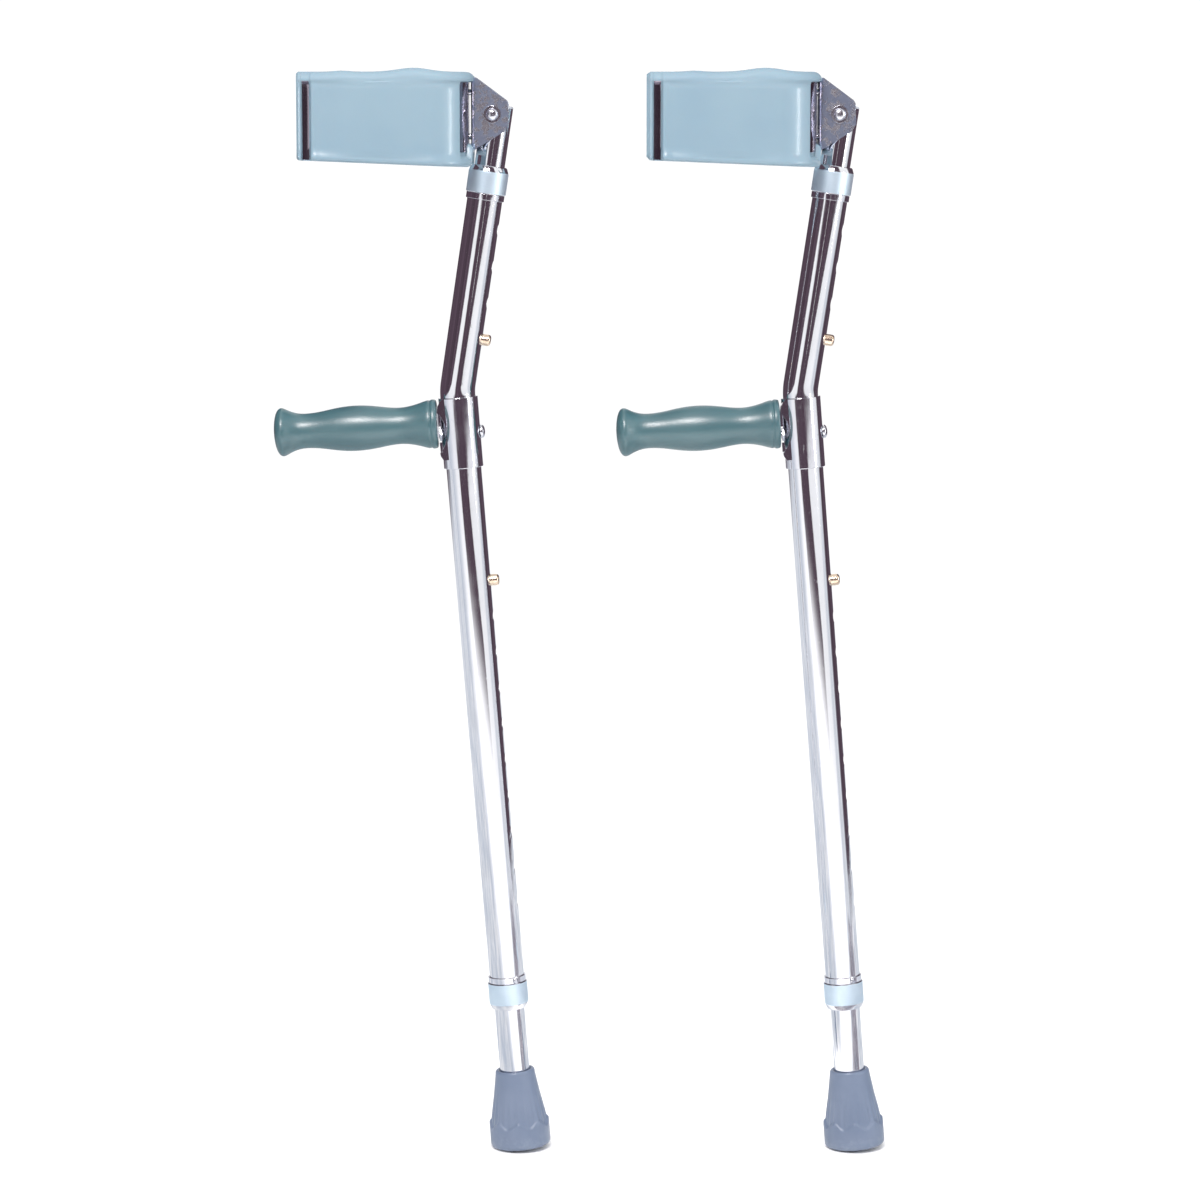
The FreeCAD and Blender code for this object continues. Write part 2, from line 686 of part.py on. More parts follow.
def rounded_block(name, inset_text, low_text, height_text, front_text):
    """A block with round rear corners, moved in from the cuff's outside by an inset."""
    body = doc.addObject("PartDesign::Body", name)
    plan = new_sketch(body, name + "_plan", "XY_Plane", at(z=value(low_text)))
    plan.setExpression("AttachmentOffset.Base.z", bound(low_text))
    draw_outline(plan, [
        ("0 - " + front_text, "0 - cuff_half_width + " + inset_text),
        ("0 - cuff_back - " + inset_text, "0 - cuff_half_width + " + inset_text),
        ("0 - cuff_back - " + inset_text, "cuff_half_width - " + inset_text),
        ("0 - " + front_text, "cuff_half_width - " + inset_text),
    ])
    pad = body.newObject("PartDesign::Pad", name + "_pad")
    pad.Profile = plan
    bind(pad, Length=height_text)
    body.Tip = pad
    doc.recompute()
    rear = pad.Shape.BoundBox.XMax
    upright = []
    for number, edge in enumerate(pad.Shape.Edges, start=1):
        box = edge.BoundBox
        if box.XMin > rear - 0.01 and box.YLength < 0.01:
            upright.append(f"Edge{number}")
    rounding = body.newObject("PartDesign::Fillet", name + "_corners")
    rounding.Base = (pad, upright)
    bind(rounding, Radius="cuff_corner - " + inset_text)
    body.Tip = rounding
    return body


def u_shell(name, outside_inset, inside_inset, low_text, height_text, front_text):
    """A U open to the front: one rounded block hollowed by a smaller one."""
    outside = rounded_block(name + "_outside", outside_inset, low_text, height_text, front_text)
    inside = rounded_block(name + "_inside", inside_inset, low_text, height_text,
                           front_text + " - 20")
    return cut(name, outside, inside)


def cuff_band(name):
    """Steel band inside the cuff, with the pad that reaches the pivot bracket."""
    strip = u_shell(name + "_strip", "band_inset", "band_inner_inset",
                    "0 - band_drop", "band_top + band_drop", "band_front")
    pad = doc.addObject("Part::Box", name + "_pad")
    bind(pad, Length="band_inset + 0.4", Width="ear_half_width + ear_half_width",
         Height="web_drop + band_top")
    pad.Placement = at(-value("cuff_back") - value("band_inset") - 0.4,
                       -value("ear_half_width"), -value("web_drop"))
    whole = fuse(name + "_whole", [strip, pad])
    return cut(name, whole, rivet_holes(name))


def rivet_places():
    """The four rivets, two across and two in height."""
    spread = value("rivet_spread")
    rise = value("rivet_rise")
    return [(y, z) for y in (-spread, spread) for z in (-rise, rise)]


def rivet_holes(name):
    holes = []
    for i, (y, z) in enumerate(rivet_places()):
        place = at(-value("cuff_back") - 5, y, z, angle=90)
        holes.append(cylinder(f"{name}_rivet_hole_{i}", "rivet_radius", "10", place))
    return fuse(name + "_rivet_holes", holes)


def cuff_cover(name, band):
    """Vinyl moulded over the band: rolled front edges, a notch under the bracket."""
    shell = u_shell(name + "_shell", "0", "cuff_wall", "0 - cuff_drop",
                    "cuff_top + cuff_drop", "cuff_front")
    beads = []
    middle = value("cuff_half_width") - value("cuff_wall") / 2
    for i, y in enumerate((-middle, middle)):
        place = at(-value("cuff_front") + value("cuff_bead"), y, -value("cuff_drop"))
        beads.append(cylinder(f"{name}_bead_{i}", "cuff_bead", "cuff_drop + cuff_top", place))
    whole = fuse(name + "_whole", [shell] + beads)
    slope = plate(name + "_slope", [
        ("0 - cuff_front - 5", "0 - cuff_front_drop"),
        ("0 - cuff_back", "0 - cuff_drop"),
        ("0 - cuff_front - 5", "0 - cuff_drop - 5"),
    ], "cuff_half_width + cuff_half_width + 20")
    notch = doc.addObject("Part::Box", name + "_notch")
    bind(notch, Length="cuff_wall + 3", Width="cuff_notch_half + cuff_notch_half",
         Height="cuff_drop - cuff_notch_top + 5")
    notch.Placement = at(-value("cuff_back") - value("cuff_wall") - 2,
                         -value("cuff_notch_half"), -value("cuff_drop") - 5)
    trimmed = cut(name + "_trimmed", whole, fuse(name + "_trims", [slope, notch]))
    space = fuse(name + "_band_space", [band, rivet_fill(name)])
    return cut(name, trimmed, space)


def rivet_fill(name):
    """The rivets' tails, which the vinyl is moulded round."""
    tails = []
    for i, (y, z) in enumerate(rivet_places()):
        place = at(-value("cuff_back") - value("band_inner_inset"),
                   y, z, angle=90)
        length = "band_inner_inset"
        tails.append(cylinder(f"{name}_tail_{i}", "rivet_radius", length, place))
    return fuse(name + "_tails", tails)


def cuff_rivets(name):
    rivets = []
    for i, (y, z) in enumerate(rivet_places()):
        rivet = turned(f"{name}_{i}", [
            ("0", "0"),
            ("rivet_radius", "0"),
            ("rivet_radius", "cuff_back + band_inner_inset - web_back"),
            ("rivet_head", "cuff_back + band_inner_inset - web_back"),
            ("rivet_head - 1.2", "cuff_back + band_inner_inset - web_back + 1"),
            ("0", "cuff_back + band_inner_inset - web_back + 1.2"),
        ])
        rivet.Placement = at(
            -value("cuff_back") - value("band_inner_inset"),
            y, z, angle=90)
        rivets.append(rivet)
    return group(name, rivets)


def cuff_bracket(name):
    """U channel: a web riveted to the cuff and two ears on the pivot bolt."""
    ears = plate(name + "_ears", [
        ("0 - cuff_back", "web_top"),
        ("-11", "web_top"),
        ("7.6", "9.8"),
        ("8.8", "7.2"),
        ("9.0", "-7.6"),
        ("6.2", "-11.8"),
        ("-11", "0 - web_drop + 1.2"),
        ("0 - cuff_back", "0 - web_drop"),
    ], "ear_half_width + ear_half_width")
    gap = doc.addObject("Part::Box", name + "_gap")
    bind(gap, Length="web_back + 20", Width="ear_gap_half + ear_gap_half",
         Height="web_top + web_drop + 10")
    gap.Placement = at(-value("web_back"), -value("ear_gap_half"), -value("web_drop") - 5)
    hole = cylinder(name + "_hole", "pivot_hole", "ear_half_width + ear_half_width + 10",
                    at(y=value("ear_half_width") + 5, axis=X_AXIS, angle=90))
    return cut(name, ears, fuse(name + "_openings", [gap, hole, rivet_holes(name)]))


def pivot_bolt(name):
    """Domed pivot bolt: its own +Z points out of the near side, towards the head."""
    return turned(name, [
        ("0", "0 - ear_half_width - washer_thickness - pivot_nut_height - pivot_tail"),
        ("pivot_shank", "0 - ear_half_width - washer_thickness - pivot_nut_height - pivot_tail"),
        ("pivot_shank", "ear_half_width + washer_thickness"),
        ("pivot_head", "ear_half_width + washer_thickness"),
        ("pivot_head", "ear_half_width + washer_thickness + 0.9"),
        ("pivot_head - 0.9", "ear_half_width + washer_thickness + pivot_head_height - 0.8"),
        ("pivot_head - 2.4", "ear_half_width + washer_thickness + pivot_head_height - 0.15"),
        ("0", "ear_half_width + washer_thickness + pivot_head_height"),
    ])


def pivot_nut(name):
    return hexagon_nut(name, "nut_radius", "ear_half_width + washer_thickness",
                       "pivot_nut_height", "pivot_shank")


def pivot_washers(name):
    """One washer under the bolt's head and one under its nut."""
    washers = []
    for i, low in enumerate(("ear_half_width", "0 - ear_half_width - washer_thickness")):
        washers.append(turned(f"{name}_{i}", [
            ("pivot_shank", low),
            ("washer_radius", low),
            ("washer_radius", low + " + washer_thickness"),
            ("pivot_shank", low + " + washer_thickness"),
        ]))
    return group(name, washers)


# ---------------------------------------------------------------- one crutch

LOWER = Placement()
UPPER = at(z=value("bend_height"), angle=value("bend_angle"))
GRIP = at(z=value("grip_height"), angle=value("grip_rise") - 90)
BOLT = at(z=value("bolt_height"), angle=90)
NUT = at(z=value("bolt_height"), angle=-90)
LOWER_COLLAR = at(z=value("lower_collar_end"))
UPPER_COLLAR = UPPER.multiply(at(z=value("upper_collar_end"), axis=X_AXIS, angle=180))
LEG_LOCK = at(z=value("leg_lock"))
FOREARM_LOCK = UPPER.multiply(at(z=value("forearm_lock")))
OUTWARDS = at(angle=90)
CUFF = UPPER.multiply(at(x=-value("pivot_forward"), z=value("pivot_along"),
                         angle=value("lean") - value("bend_angle")))
PIVOT = CUFF.multiply(at(axis=X_AXIS, angle=90))
PIVOT_FAR = CUFF.multiply(at(axis=X_AXIS, angle=-90))
NEAR_SCREW = ring_screw_place()


def crutch(side, stand):
    """All sub-parts of one crutch, as node name to document object."""
    nodes = {}

    def keep(name, feature, station):
        label = f"{side}_{name}"
        feature.Label = label
        feature.Placement = stand.multiply(station)
        nodes[label] = feature

    def new(name):
        return f"{side}_{name}"

    keep("outer_tube", outer_tube(new("outer_tube")), LOWER)
    keep("handle_bracket", handle_bracket(new("handle_bracket")), LOWER)
    keep("handle_core", handle_core(new("handle_core")), GRIP)
    keep("hand_grip", hand_grip(new("hand_grip")), GRIP)
    keep("bracket_bolt", bracket_bolt(new("bracket_bolt")), BOLT)
    nut = hexagon_nut(new("bracket_nut"), "nut_radius", "nut_back", "nut_front - nut_back",
                      "bolt_shank")
    keep("bracket_nut", nut, NUT)
    for end, station in (("lower", LOWER_COLLAR), ("upper", UPPER_COLLAR)):
        keep(f"{end}_collar", collar(new(f"{end}_collar")), station)
        keep(f"{end}_collar_bush", collar_bush(new(f"{end}_collar_bush")), station)
        keep(f"{end}_clamp_ring", collar_ring(new(f"{end}_clamp_ring")), station)
        screw = ring_screw(new(f"{end}_clamp_screw"))
        keep(f"{end}_clamp_screw", screw, station.multiply(NEAR_SCREW))
    keep("forearm_tube", forearm_tube(new("forearm_tube")), UPPER)
    keep("forearm_tube_cap", tube_cap(new("forearm_tube_cap")), UPPER)
    keep("leg_tube", leg_tube(new("leg_tube")), LOWER)
    for limb, station in (("forearm", FOREARM_LOCK), ("leg", LEG_LOCK)):
        button = snap_button(new(f"{limb}_button"))
        keep(f"{limb}_button", button, station.multiply(OUTWARDS))
        keep(f"{limb}_button_spring", button_spring(new(f"{limb}_button_spring")), station)
    keep("rubber_tip", rubber_tip(new("rubber_tip")), LOWER)
    keep("tip_washer", tip_washer(new("tip_washer")), LOWER)
    band = cuff_band(new("cuff_band"))
    keep("cuff_cover", cuff_cover(new("cuff_cover"), cuff_band(new("band_form"))), CUFF)
    keep("cuff_band", band, CUFF)
    keep("cuff_bracket", cuff_bracket(new("cuff_bracket")), CUFF)
    keep("cuff_rivets", cuff_rivets(new("cuff_rivets")), CUFF)
    keep("pivot_bolt", pivot_bolt(new("pivot_bolt")), PIVOT)
    keep("pivot_nut", pivot_nut(new("pivot_nut")), PIVOT_FAR)
    keep("pivot_washers", pivot_washers(new("pivot_washers")), PIVOT)
    return nodes


nodes = {}
for side, x in (("left", 0.0), ("right", value("crutch_gap"))):
    nodes.update(crutch(side, at(x=x, angle=-value("lean"))))
doc.recompute()

# ---------------------------------------------------------------- checks and export

for feature in doc.Objects:
    if "Invalid" in feature.State or "Error" in feature.State:
        raise RuntimeError(f"{feature.Name} failed: {feature.State}")
for label, feature in nodes.items():
    if feature.Shape.isNull() or not feature.Shape.isValid():
        raise RuntimeError(label + " has no valid shape")
    if not feature.Shape.Solids:
        raise RuntimeError(label + " has no solid")
for label, feature in nodes.items():
    feature.Shape.exportStep(f"parts/{label}.step")
print(len(nodes), "nodes written")
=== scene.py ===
# %% [markdown]
# # A pair of forearm crutches
# Two crutches stand one behind the other. On each, a leg tube with a rubber tip slides out of the
# bottom of a bent outer tube, and a forearm tube with a vinyl cuff slides out of its top. Spring
# buttons lock both tubes in a row of holes. The sizes and the places of everything come from the
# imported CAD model, which is loaded first. Each piece is then modelled around it in more detail.

# %% Load the fixed frame
import math

import bmesh
import bpy
from mathutils import Matrix, Vector


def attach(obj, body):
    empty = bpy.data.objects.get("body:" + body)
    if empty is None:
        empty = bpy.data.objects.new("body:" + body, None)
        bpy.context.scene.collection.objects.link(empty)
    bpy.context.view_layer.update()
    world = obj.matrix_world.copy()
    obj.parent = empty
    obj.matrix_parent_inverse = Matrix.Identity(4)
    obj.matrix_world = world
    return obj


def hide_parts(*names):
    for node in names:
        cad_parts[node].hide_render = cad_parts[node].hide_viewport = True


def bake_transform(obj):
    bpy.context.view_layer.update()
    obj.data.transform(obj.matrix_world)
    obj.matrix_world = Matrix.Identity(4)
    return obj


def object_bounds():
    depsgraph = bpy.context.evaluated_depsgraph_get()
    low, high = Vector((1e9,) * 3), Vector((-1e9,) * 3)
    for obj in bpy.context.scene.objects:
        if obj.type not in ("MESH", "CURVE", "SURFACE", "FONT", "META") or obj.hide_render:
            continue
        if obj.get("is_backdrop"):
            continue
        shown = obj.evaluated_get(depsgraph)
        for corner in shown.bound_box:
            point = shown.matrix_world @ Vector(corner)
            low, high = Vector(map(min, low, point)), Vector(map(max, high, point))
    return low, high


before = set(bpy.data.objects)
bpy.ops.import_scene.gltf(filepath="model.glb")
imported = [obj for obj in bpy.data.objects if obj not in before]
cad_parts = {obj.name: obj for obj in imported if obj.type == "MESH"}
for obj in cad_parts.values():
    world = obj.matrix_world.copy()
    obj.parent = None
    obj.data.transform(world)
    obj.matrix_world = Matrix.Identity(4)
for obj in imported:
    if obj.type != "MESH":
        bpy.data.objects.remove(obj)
cad_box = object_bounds()
size = cad_box[1] - cad_box[0]
print("CAD box", [round(length, 3) for length in size], "m")

# %% [markdown]
# ## Stations
# Every piece has its own small drawing board, a station: a place and a direction on the crutch.
# Working there in millimetres keeps the numbers readable, such as a tube of 12.2 mm radius. One
# matrix carries the finished mesh to its real place in metres, so the object itself stays at the
# origin and a pattern on Object coordinates never slides.

# %% Stations of one crutch
MM = 0.001
LEAN = 4.55
BEND = 13.0
BEND_CORNER = 537.6
BOLT_HEIGHT = 507.9
LEG_LOCK = 403.9
FOREARM_LOCK = 37.2
OUTER_TUBE = 12.2
INNER_TUBE = 10.5
BUTTON_HOLE = 4.2
SIDES = {"left": 0.0, "right": 237.0}


def shift(x=0.0, y=0.0, z=0.0):
    return Matrix.Translation((x * MM, y * MM, z * MM))


def turn(degrees, axis):
    return Matrix.Rotation(math.radians(degrees), 4, axis)


LOWER = Matrix.Identity(4)
UPPER = shift(z=BEND_CORNER) @ turn(BEND, "Y")
GRIP = shift(z=515.1) @ turn(1.4 - 90, "Y")
BOLT = shift(z=BOLT_HEIGHT) @ turn(90, "Y")
NUT = shift(z=BOLT_HEIGHT) @ turn(-90, "Y")
LOWER_COLLAR = shift(z=99.6)
UPPER_COLLAR = UPPER @ shift(z=156.0) @ turn(180, "X")
LEG_BUTTON = shift(z=LEG_LOCK) @ turn(90, "Y")
FOREARM_BUTTON = UPPER @ shift(z=FOREARM_LOCK) @ turn(90, "Y")
CUFF = UPPER @ shift(x=-3.0, z=190.9) @ turn(LEAN - BEND, "Y")
PIVOT = CUFF @ turn(90, "X")
PIVOT_FAR = CUFF @ turn(-90, "X")
RING_SCREW = shift(z=21.2) @ turn(-62, "Z") @ turn(90, "Y")
print("stations ready, cuff pivot of the left crutch at",
      [round(c, 4) for c in (turn(-LEAN, "Y") @ CUFF).translation])

# %% [markdown]
# ## Turning, softening and setting down
# Most parts of a crutch are turned or moulded round, so one helper spins an outline about the Z
# axis. A real edge is never perfectly sharp, and the thin bright line on a rounded edge is what
# makes metal look real, so another helper rolls hard edges over. The last one sets a finished mesh
# down on both crutches, ties it to the CAD body it moves with unless it is baked in place, and
# hides the CAD part it stands for.


# %% Helpers for the meshes
def face_out(bm):
    bmesh.ops.recalc_face_normals(bm, faces=bm.faces[:])


def filled(bm):
    """One face inside all the edges."""
    return bmesh.ops.contextual_create(bm, geom=bm.edges[:])["faces"]


def outline(bm, points, closed=False):
    """Vertices along (radius, height) points in the XZ plane, joined by edges."""
    verts = [bm.verts.new((x, 0.0, z)) for x, z in points]
    pairs = list(zip(verts, verts[1:]))
    if closed:
        pairs.append((verts[-1], verts[0]))
    for a, b in pairs:
        bm.edges.new((a, b))
    return verts


def turned(points, steps=96, closed=False):
    """A solid or a ring turned about Z from an outline."""
    bm = bmesh.new()
    outline(bm, points, closed)
    bmesh.ops.spin(bm, geom=bm.verts[:] + bm.edges[:], cent=(0, 0, 0), axis=(0, 0, 1),
                   angle=math.tau, steps=steps, use_merge=True)
    bmesh.ops.remove_doubles(bm, verts=bm.verts[:], dist=0.0005)
    face_out(bm)
    return bm


def roll(bm, edges, width, segments):
    """Replace edges by a rounded strip."""
    bmesh.ops.bevel(bm, geom=edges, offset=width, offset_type="OFFSET", segments=segments,
                    profile=0.5, affect="EDGES", clamp_overlap=True, material=-1)
    return bm


def soften(bm, width, segments=2, above=30.0):
    """Roll over every edge that turns by more than an angle."""
    hard = [e for e in bm.edges if e.is_manifold and e.calc_face_angle() > math.radians(above)]
    return roll(bm, hard, width, segments)


def add(bm, other):
    """Put another mesh into this one."""
    mesh = bpy.data.meshes.new("joined")
    other.to_mesh(mesh)
    bm.from_mesh(mesh)
    bpy.data.meshes.remove(mesh)
    other.free()
    return bm


def moved(bm, matrix):
    """A mesh turned or shifted on its own board by a matrix in metres."""
    bm.transform(Matrix.Scale(1 / MM, 4) @ matrix @ Matrix.Scale(MM, 4))
    return bm


def verts_in(geom):
    """The vertices among some geometry."""
    return [g for g in geom if isinstance(g, bmesh.types.BMVert)]


def slide(bm, geom, x=0.0, y=0.0, z=0.0):
    """Move the vertices among some geometry."""
    bmesh.ops.translate(bm, verts=verts_in(geom), vec=(x, y, z))


def stand_up(name, data):
    """A new object in the scene, at the origin."""
    item = bpy.data.objects.new(name, data)
    bpy.context.scene.collection.objects.link(item)
    return item


made = {}


def set_down(name, bm, station, finishes, body, node, sharp=40.0, extras=(),
             across=None):
    """Place one mesh on both crutches and tie it to its body and CAD parts.

    A piece given across is baked in place and tied to no body; the second body and the two points
    on its board in across are not used.
    """
    for side, gap in SIDES.items():
        copy = bm.copy()
        stand = shift(x=gap) @ turn(-LEAN, "Y")
        copy.transform(stand @ station @ Matrix.Scale(MM, 4))
        for face in copy.faces:
            face.smooth = True
        for edge in copy.edges:
            edge.smooth = edge.calc_face_angle(0.0) < math.radians(sharp)
        mesh = bpy.data.meshes.new(f"{side}_{name}")
        copy.to_mesh(mesh)
        copy.free()
        piece = stand_up(f"{side}_{name}", mesh)
        for finish in finishes:
            mesh.materials.append(finish)
        for kind, settings in extras:
            modifier = piece.modifiers.new(kind.title(), kind)
            for key, value in settings.items():
                setattr(modifier, key, value)
        weighted = piece.modifiers.new("Even shading", "WEIGHTED_NORMAL")
        weighted.keep_sharp = True
        if across:
            other, *ends = across
            [stand @ station @ (Vector(end) * MM) for end in ends]
            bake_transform(piece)
        else:
            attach(piece, f"{side}_{body}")
        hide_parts(f"{side}_{node}")
        made[piece.name] = piece
    print(f"{name}: {len(bm.faces)} faces, on body {body}")
    bm.free()


# %% [markdown]
# ## Shader maths in plain Python
# A node tree is easier to read as a formula. `Value` wraps the socket of a node, so that
# `1 - mask` or `a * b + c` adds the Math nodes by itself. `Finish` holds one material: its
# `node` method adds any other node from its type, its settings and its socket values or links.


# %% A wrapped socket and a material under construction
class Value:
    def __init__(self, tree, socket):
        self.tree = tree
        self.socket = socket

    def _maths(self, operation, *terms):
        node = self.tree.nodes.new("ShaderNodeMath")
        node.operation = operation
        for i, term in enumerate(terms):
            if isinstance(term, Value):
                self.tree.links.new(term.socket, node.inputs[i])
            else:
                node.inputs[i].default_value = term
        return Value(self.tree, node.outputs[0])

    def __add__(self, other):
        return self._maths("ADD", self, other)

    def __sub__(self, other):
        return self._maths("SUBTRACT", self, other)

    def __rsub__(self, other):
        return self._maths("SUBTRACT", other, self)

    def __mul__(self, other):
        return self._maths("MULTIPLY", self, other)

    __radd__ = __add__
    __rmul__ = __mul__

    def between(self, low, high):
        """0 below one value, 1 above the other, with a soft step between them."""
        node = self.tree.nodes.new("ShaderNodeMapRange")
        node.interpolation_type = "SMOOTHSTEP"
        self.tree.links.new(self.socket, node.inputs["Value"])
        node.inputs["From Min"].default_value = low
        node.inputs["From Max"].default_value = high
        return Value(self.tree, node.outputs["Result"])


class Finish:
    def __init__(self, name, **constants):
        self.material = bpy.data.materials.new(name)
        self.material.use_nodes = True
        self.tree = self.material.node_tree
        self.shader = self.tree.nodes["Principled BSDF"]
        for key, number in constants.items():
            self.shader.inputs[key.replace("_", " ")].default_value = number
        self.place = self.node("ShaderNodeTexCoord").outputs["Object"]

    def node(self, kind, settings=None, sockets=None):
        node = self.tree.nodes.new(kind)
        for key, setting in (settings or {}).items():
            setattr(node, key, setting)
        for key, value in (sockets or {}).items():
            self.feed(node.inputs[key], value)
        return node

    def feed(self, socket, value):
        if isinstance(value, Value):
            value = value.socket
        if isinstance(value, bpy.types.NodeSocket):
            self.tree.links.new(value, socket)
        else:
            socket.default_value = value

    def stretched(self, along):
        """Object coordinates that run slower up the Z axis."""
        return self.node("ShaderNodeMapping", None,
                         {"Vector": self.place, "Scale": (1.0, 1.0, along)}).outputs[0]

    def height(self):
        """The height above the floor in metres."""
        node = self.node("ShaderNodeSeparateXYZ", None, {"Vector": self.place})
        return Value(self.tree, node.outputs["Z"])

    def noise(self, scale, detail=3.0, roughness=0.5, vector=None):
        node = self.node("ShaderNodeTexNoise", None, {
            "Vector": vector or self.place, "Scale": scale, "Detail": detail,
            "Roughness": roughness})
        return Value(self.tree, node.outputs["Fac"])

    def blend(self, amount, first, second):
        """A colour between two others."""
        node = self.node("ShaderNodeMix", {"data_type": "RGBA"},
                         {0: amount, 6: first, 7: second})
        return node.outputs[2]

    def bump(self, height, strength, distance):
        node = self.node("ShaderNodeBump", None,
                         {"Height": height, "Strength": strength, "Distance": distance})
        self.feed(self.shader.inputs["Normal"], node.outputs["Normal"])

    def set(self, **inputs):
        for key, value in inputs.items():
            self.feed(self.shader.inputs[key.replace("_", " ")], value)
        return self.material


def colour(red, green, blue):
    """A linear colour from the 0 to 255 values of a paint chip."""
    return tuple(((c / 255 + 0.055) / 1.055) ** 2.4 if c > 10 else c / 255 / 12.92
                 for c in (red, green, blue)) + (1.0,)


# %% [markdown]
# ## Metals
# The tubes are bright-dipped aluminium. Bright metal shows little colour of its own: what is
# seen is the room, so its finish is in the roughness. Drawn tube has faint lines along its
# length, rubbed patches and a few small scratches. Zinc-plated sheet is duller and mottled, and
# brass is warm and a little tarnished.


# %% Finishes of the metal parts
def scaled(tint, share):
    return tuple(min(1.0, c * share) for c in tint[:3]) + (1.0,)


def bright_metal(name, base, lowest, spread, grain, mark=0.25):
    """Polished metal: drawing lines along Z, soft rubbed patches and fine scratches."""
    f = Finish(name, Metallic=1.0, IOR=1.45)
    lines = f.noise(grain, 2.0, 0.6, f.stretched(0.012))
    patches = f.noise(38.0, 4.0, 0.6)
    scratches = f.noise(420.0, 2.0, 0.7, f.stretched(0.35)).between(0.66, 0.72)
    rough = lowest + lines * spread + patches.between(0.45, 0.75) * spread + scratches * mark * 0.3
    f.bump(lines * 0.5 + scratches * mark, 0.06, 0.0002)
    tint = f.blend(patches.between(0.35, 0.8), base, scaled(base, 0.93))
    return f.set(Base_Color=tint, Roughness=rough)


def mottled_zinc(name):
    """Zinc-plated sheet: cloudy grey with brighter rubbed islands."""
    f = Finish(name, Metallic=0.92)
    clouds = f.noise(150.0, 5.0, 0.65)
    waves = f.noise(45.0, 2.0, 0.5)
    specks = f.noise(900.0, 3.0, 0.6)
    rubbed = clouds.between(0.46, 0.62)
    tint = f.blend(rubbed, colour(172, 184, 208), colour(240, 244, 250))
    f.bump(waves * 2.0 + clouds * 0.5 + specks * 0.1, 0.5, 0.0004)
    return f.set(Base_Color=tint, Roughness=0.30 - rubbed * 0.14 + specks * 0.04)


def satin_metal(name):
    """Blasted metal: a very fine even grain and a few rubbed spots."""
    f = Finish(name, Metallic=0.8)
    grain = f.noise(2600.0, 2.0, 0.6)
    cloud = f.noise(60.0, 3.0, 0.5)
    worn = f.noise(210.0, 4.0, 0.6).between(0.66, 0.74)
    tint = f.blend(cloud.between(0.3, 0.7), colour(200, 218, 232), colour(212, 229, 241))
    f.bump(grain, 0.12, 0.0002)
    return f.set(Base_Color=f.blend(worn, tint, colour(228, 234, 240)),
                 Roughness=0.40 + grain * 0.08 - worn * 0.14)


def brass_metal(name):
    f = Finish(name, Metallic=1.0)
    tarnish = f.noise(240.0, 4.0, 0.6)
    tint = f.blend(tarnish.between(0.35, 0.7), colour(246, 226, 204), colour(230, 206, 180))
    f.bump(f.noise(1500.0, 2.0, 0.5), 0.06, 0.0002)
    return f.set(Base_Color=tint, Roughness=0.2 + tarnish * 0.12)


ALUMINIUM = colour(236, 237, 242)
STEEL = colour(214, 216, 224)
polished_tube = bright_metal("polished tube", ALUMINIUM, 0.035, 0.05, 900.0)
polished_bracket = bright_metal("polished bracket", colour(232, 233, 240), 0.05, 0.06, 500.0, 0.5)
polished_shoulder = bright_metal("polished shoulder", ALUMINIUM, 0.06, 0.06, 700.0)
# The band steel is tinted a dark plum: painted shade for the groove floor and the bare rear of the
# cuff, on top of the dark boards it reflects.
painted_shade_steel = bright_metal("band steel tinted as painted shade", colour(150, 142, 154), 0.10, 0.08, 500.0, 0.3)
plain_steel = bright_metal("plain steel", STEEL, 0.16, 0.12, 600.0, 0.6)
zinc_plate = mottled_zinc("zinc plate")
satin_band = satin_metal("satin collar band")
brass = brass_metal("brass button")
print("metal finishes made")

# %% [markdown]
# ## Vinyl, rubber and nylon
# The cuff is dipped in pale blue vinyl that sets with a wet shine and a faint orange peel, and
# with a duller rolled rim. The grip is a grey-green vinyl with a fine skin and a sheen that is a
# little softer. The rubber tip is slate blue with dust rubbed into its lower edge. A small amount
# of light travels under the skin of the vinyl, which rounds off its shadows.


# %% Finishes of the moulded parts
def soft_vinyl(name, light, dark, gloss, peel, peel_size, clouds, coat=0.0, dull=None,
               index=1.5):
    """Moulded vinyl: cloudy tint, orange peel, dull fingermarks, and a dull rim above a height."""
    f = Finish(name, IOR=index, Coat_Roughness=0.16, Subsurface_Weight=0.06,
               Subsurface_Scale=0.002)
    tone = f.noise(clouds, 3.0, 0.5)
    skin = f.noise(peel_size, 2.0, 0.5)
    marks = f.noise(55.0, 4.0, 0.65).between(0.58, 0.74)
    specks = f.noise(1900.0, 1.0, 0.5).between(0.74, 0.8)
    tint = f.blend(tone.between(0.3, 0.7), light, dark)
    tint = f.blend(specks * 0.35, tint, scaled(dark, 0.7))
    f.bump(skin + specks * 0.3, peel, 0.0006)
    rough = gloss + marks * 0.10 + skin * 0.05
    sheen = coat * (1 - marks * 0.5)
    if dull:
        rim = f.height().between(dull - 0.003, dull)
        rough = rough + rim * 0.35
        sheen = sheen * (1 - rim)
    return f.set(Base_Color=tint, Roughness=rough, Coat_Weight=sheen)


def tip_rubber_finish(name):
    """Dull moulded rubber, lighter where the foot has rubbed on the ground."""
    f = Finish(name, IOR=1.45)
    dust = f.noise(120.0, 5.0, 0.65).between(0.42, 0.75)
    foot = 1 - f.height().between(0.001, 0.014)
    skin = f.noise(1400.0, 3.0, 0.6)
    tone = f.noise(40.0, 3.0, 0.5)
    tint = f.blend(tone.between(0.3, 0.7), colour(108, 120, 141), colour(100, 113, 135))
    tint = f.blend(dust * foot * 0.6, tint, colour(140, 150, 166))
    f.bump(skin * 0.6 + dust * 0.4, 0.16, 0.0005)
    return f.set(Base_Color=tint, Roughness=0.28 + skin * 0.1 + dust * foot * 0.2)


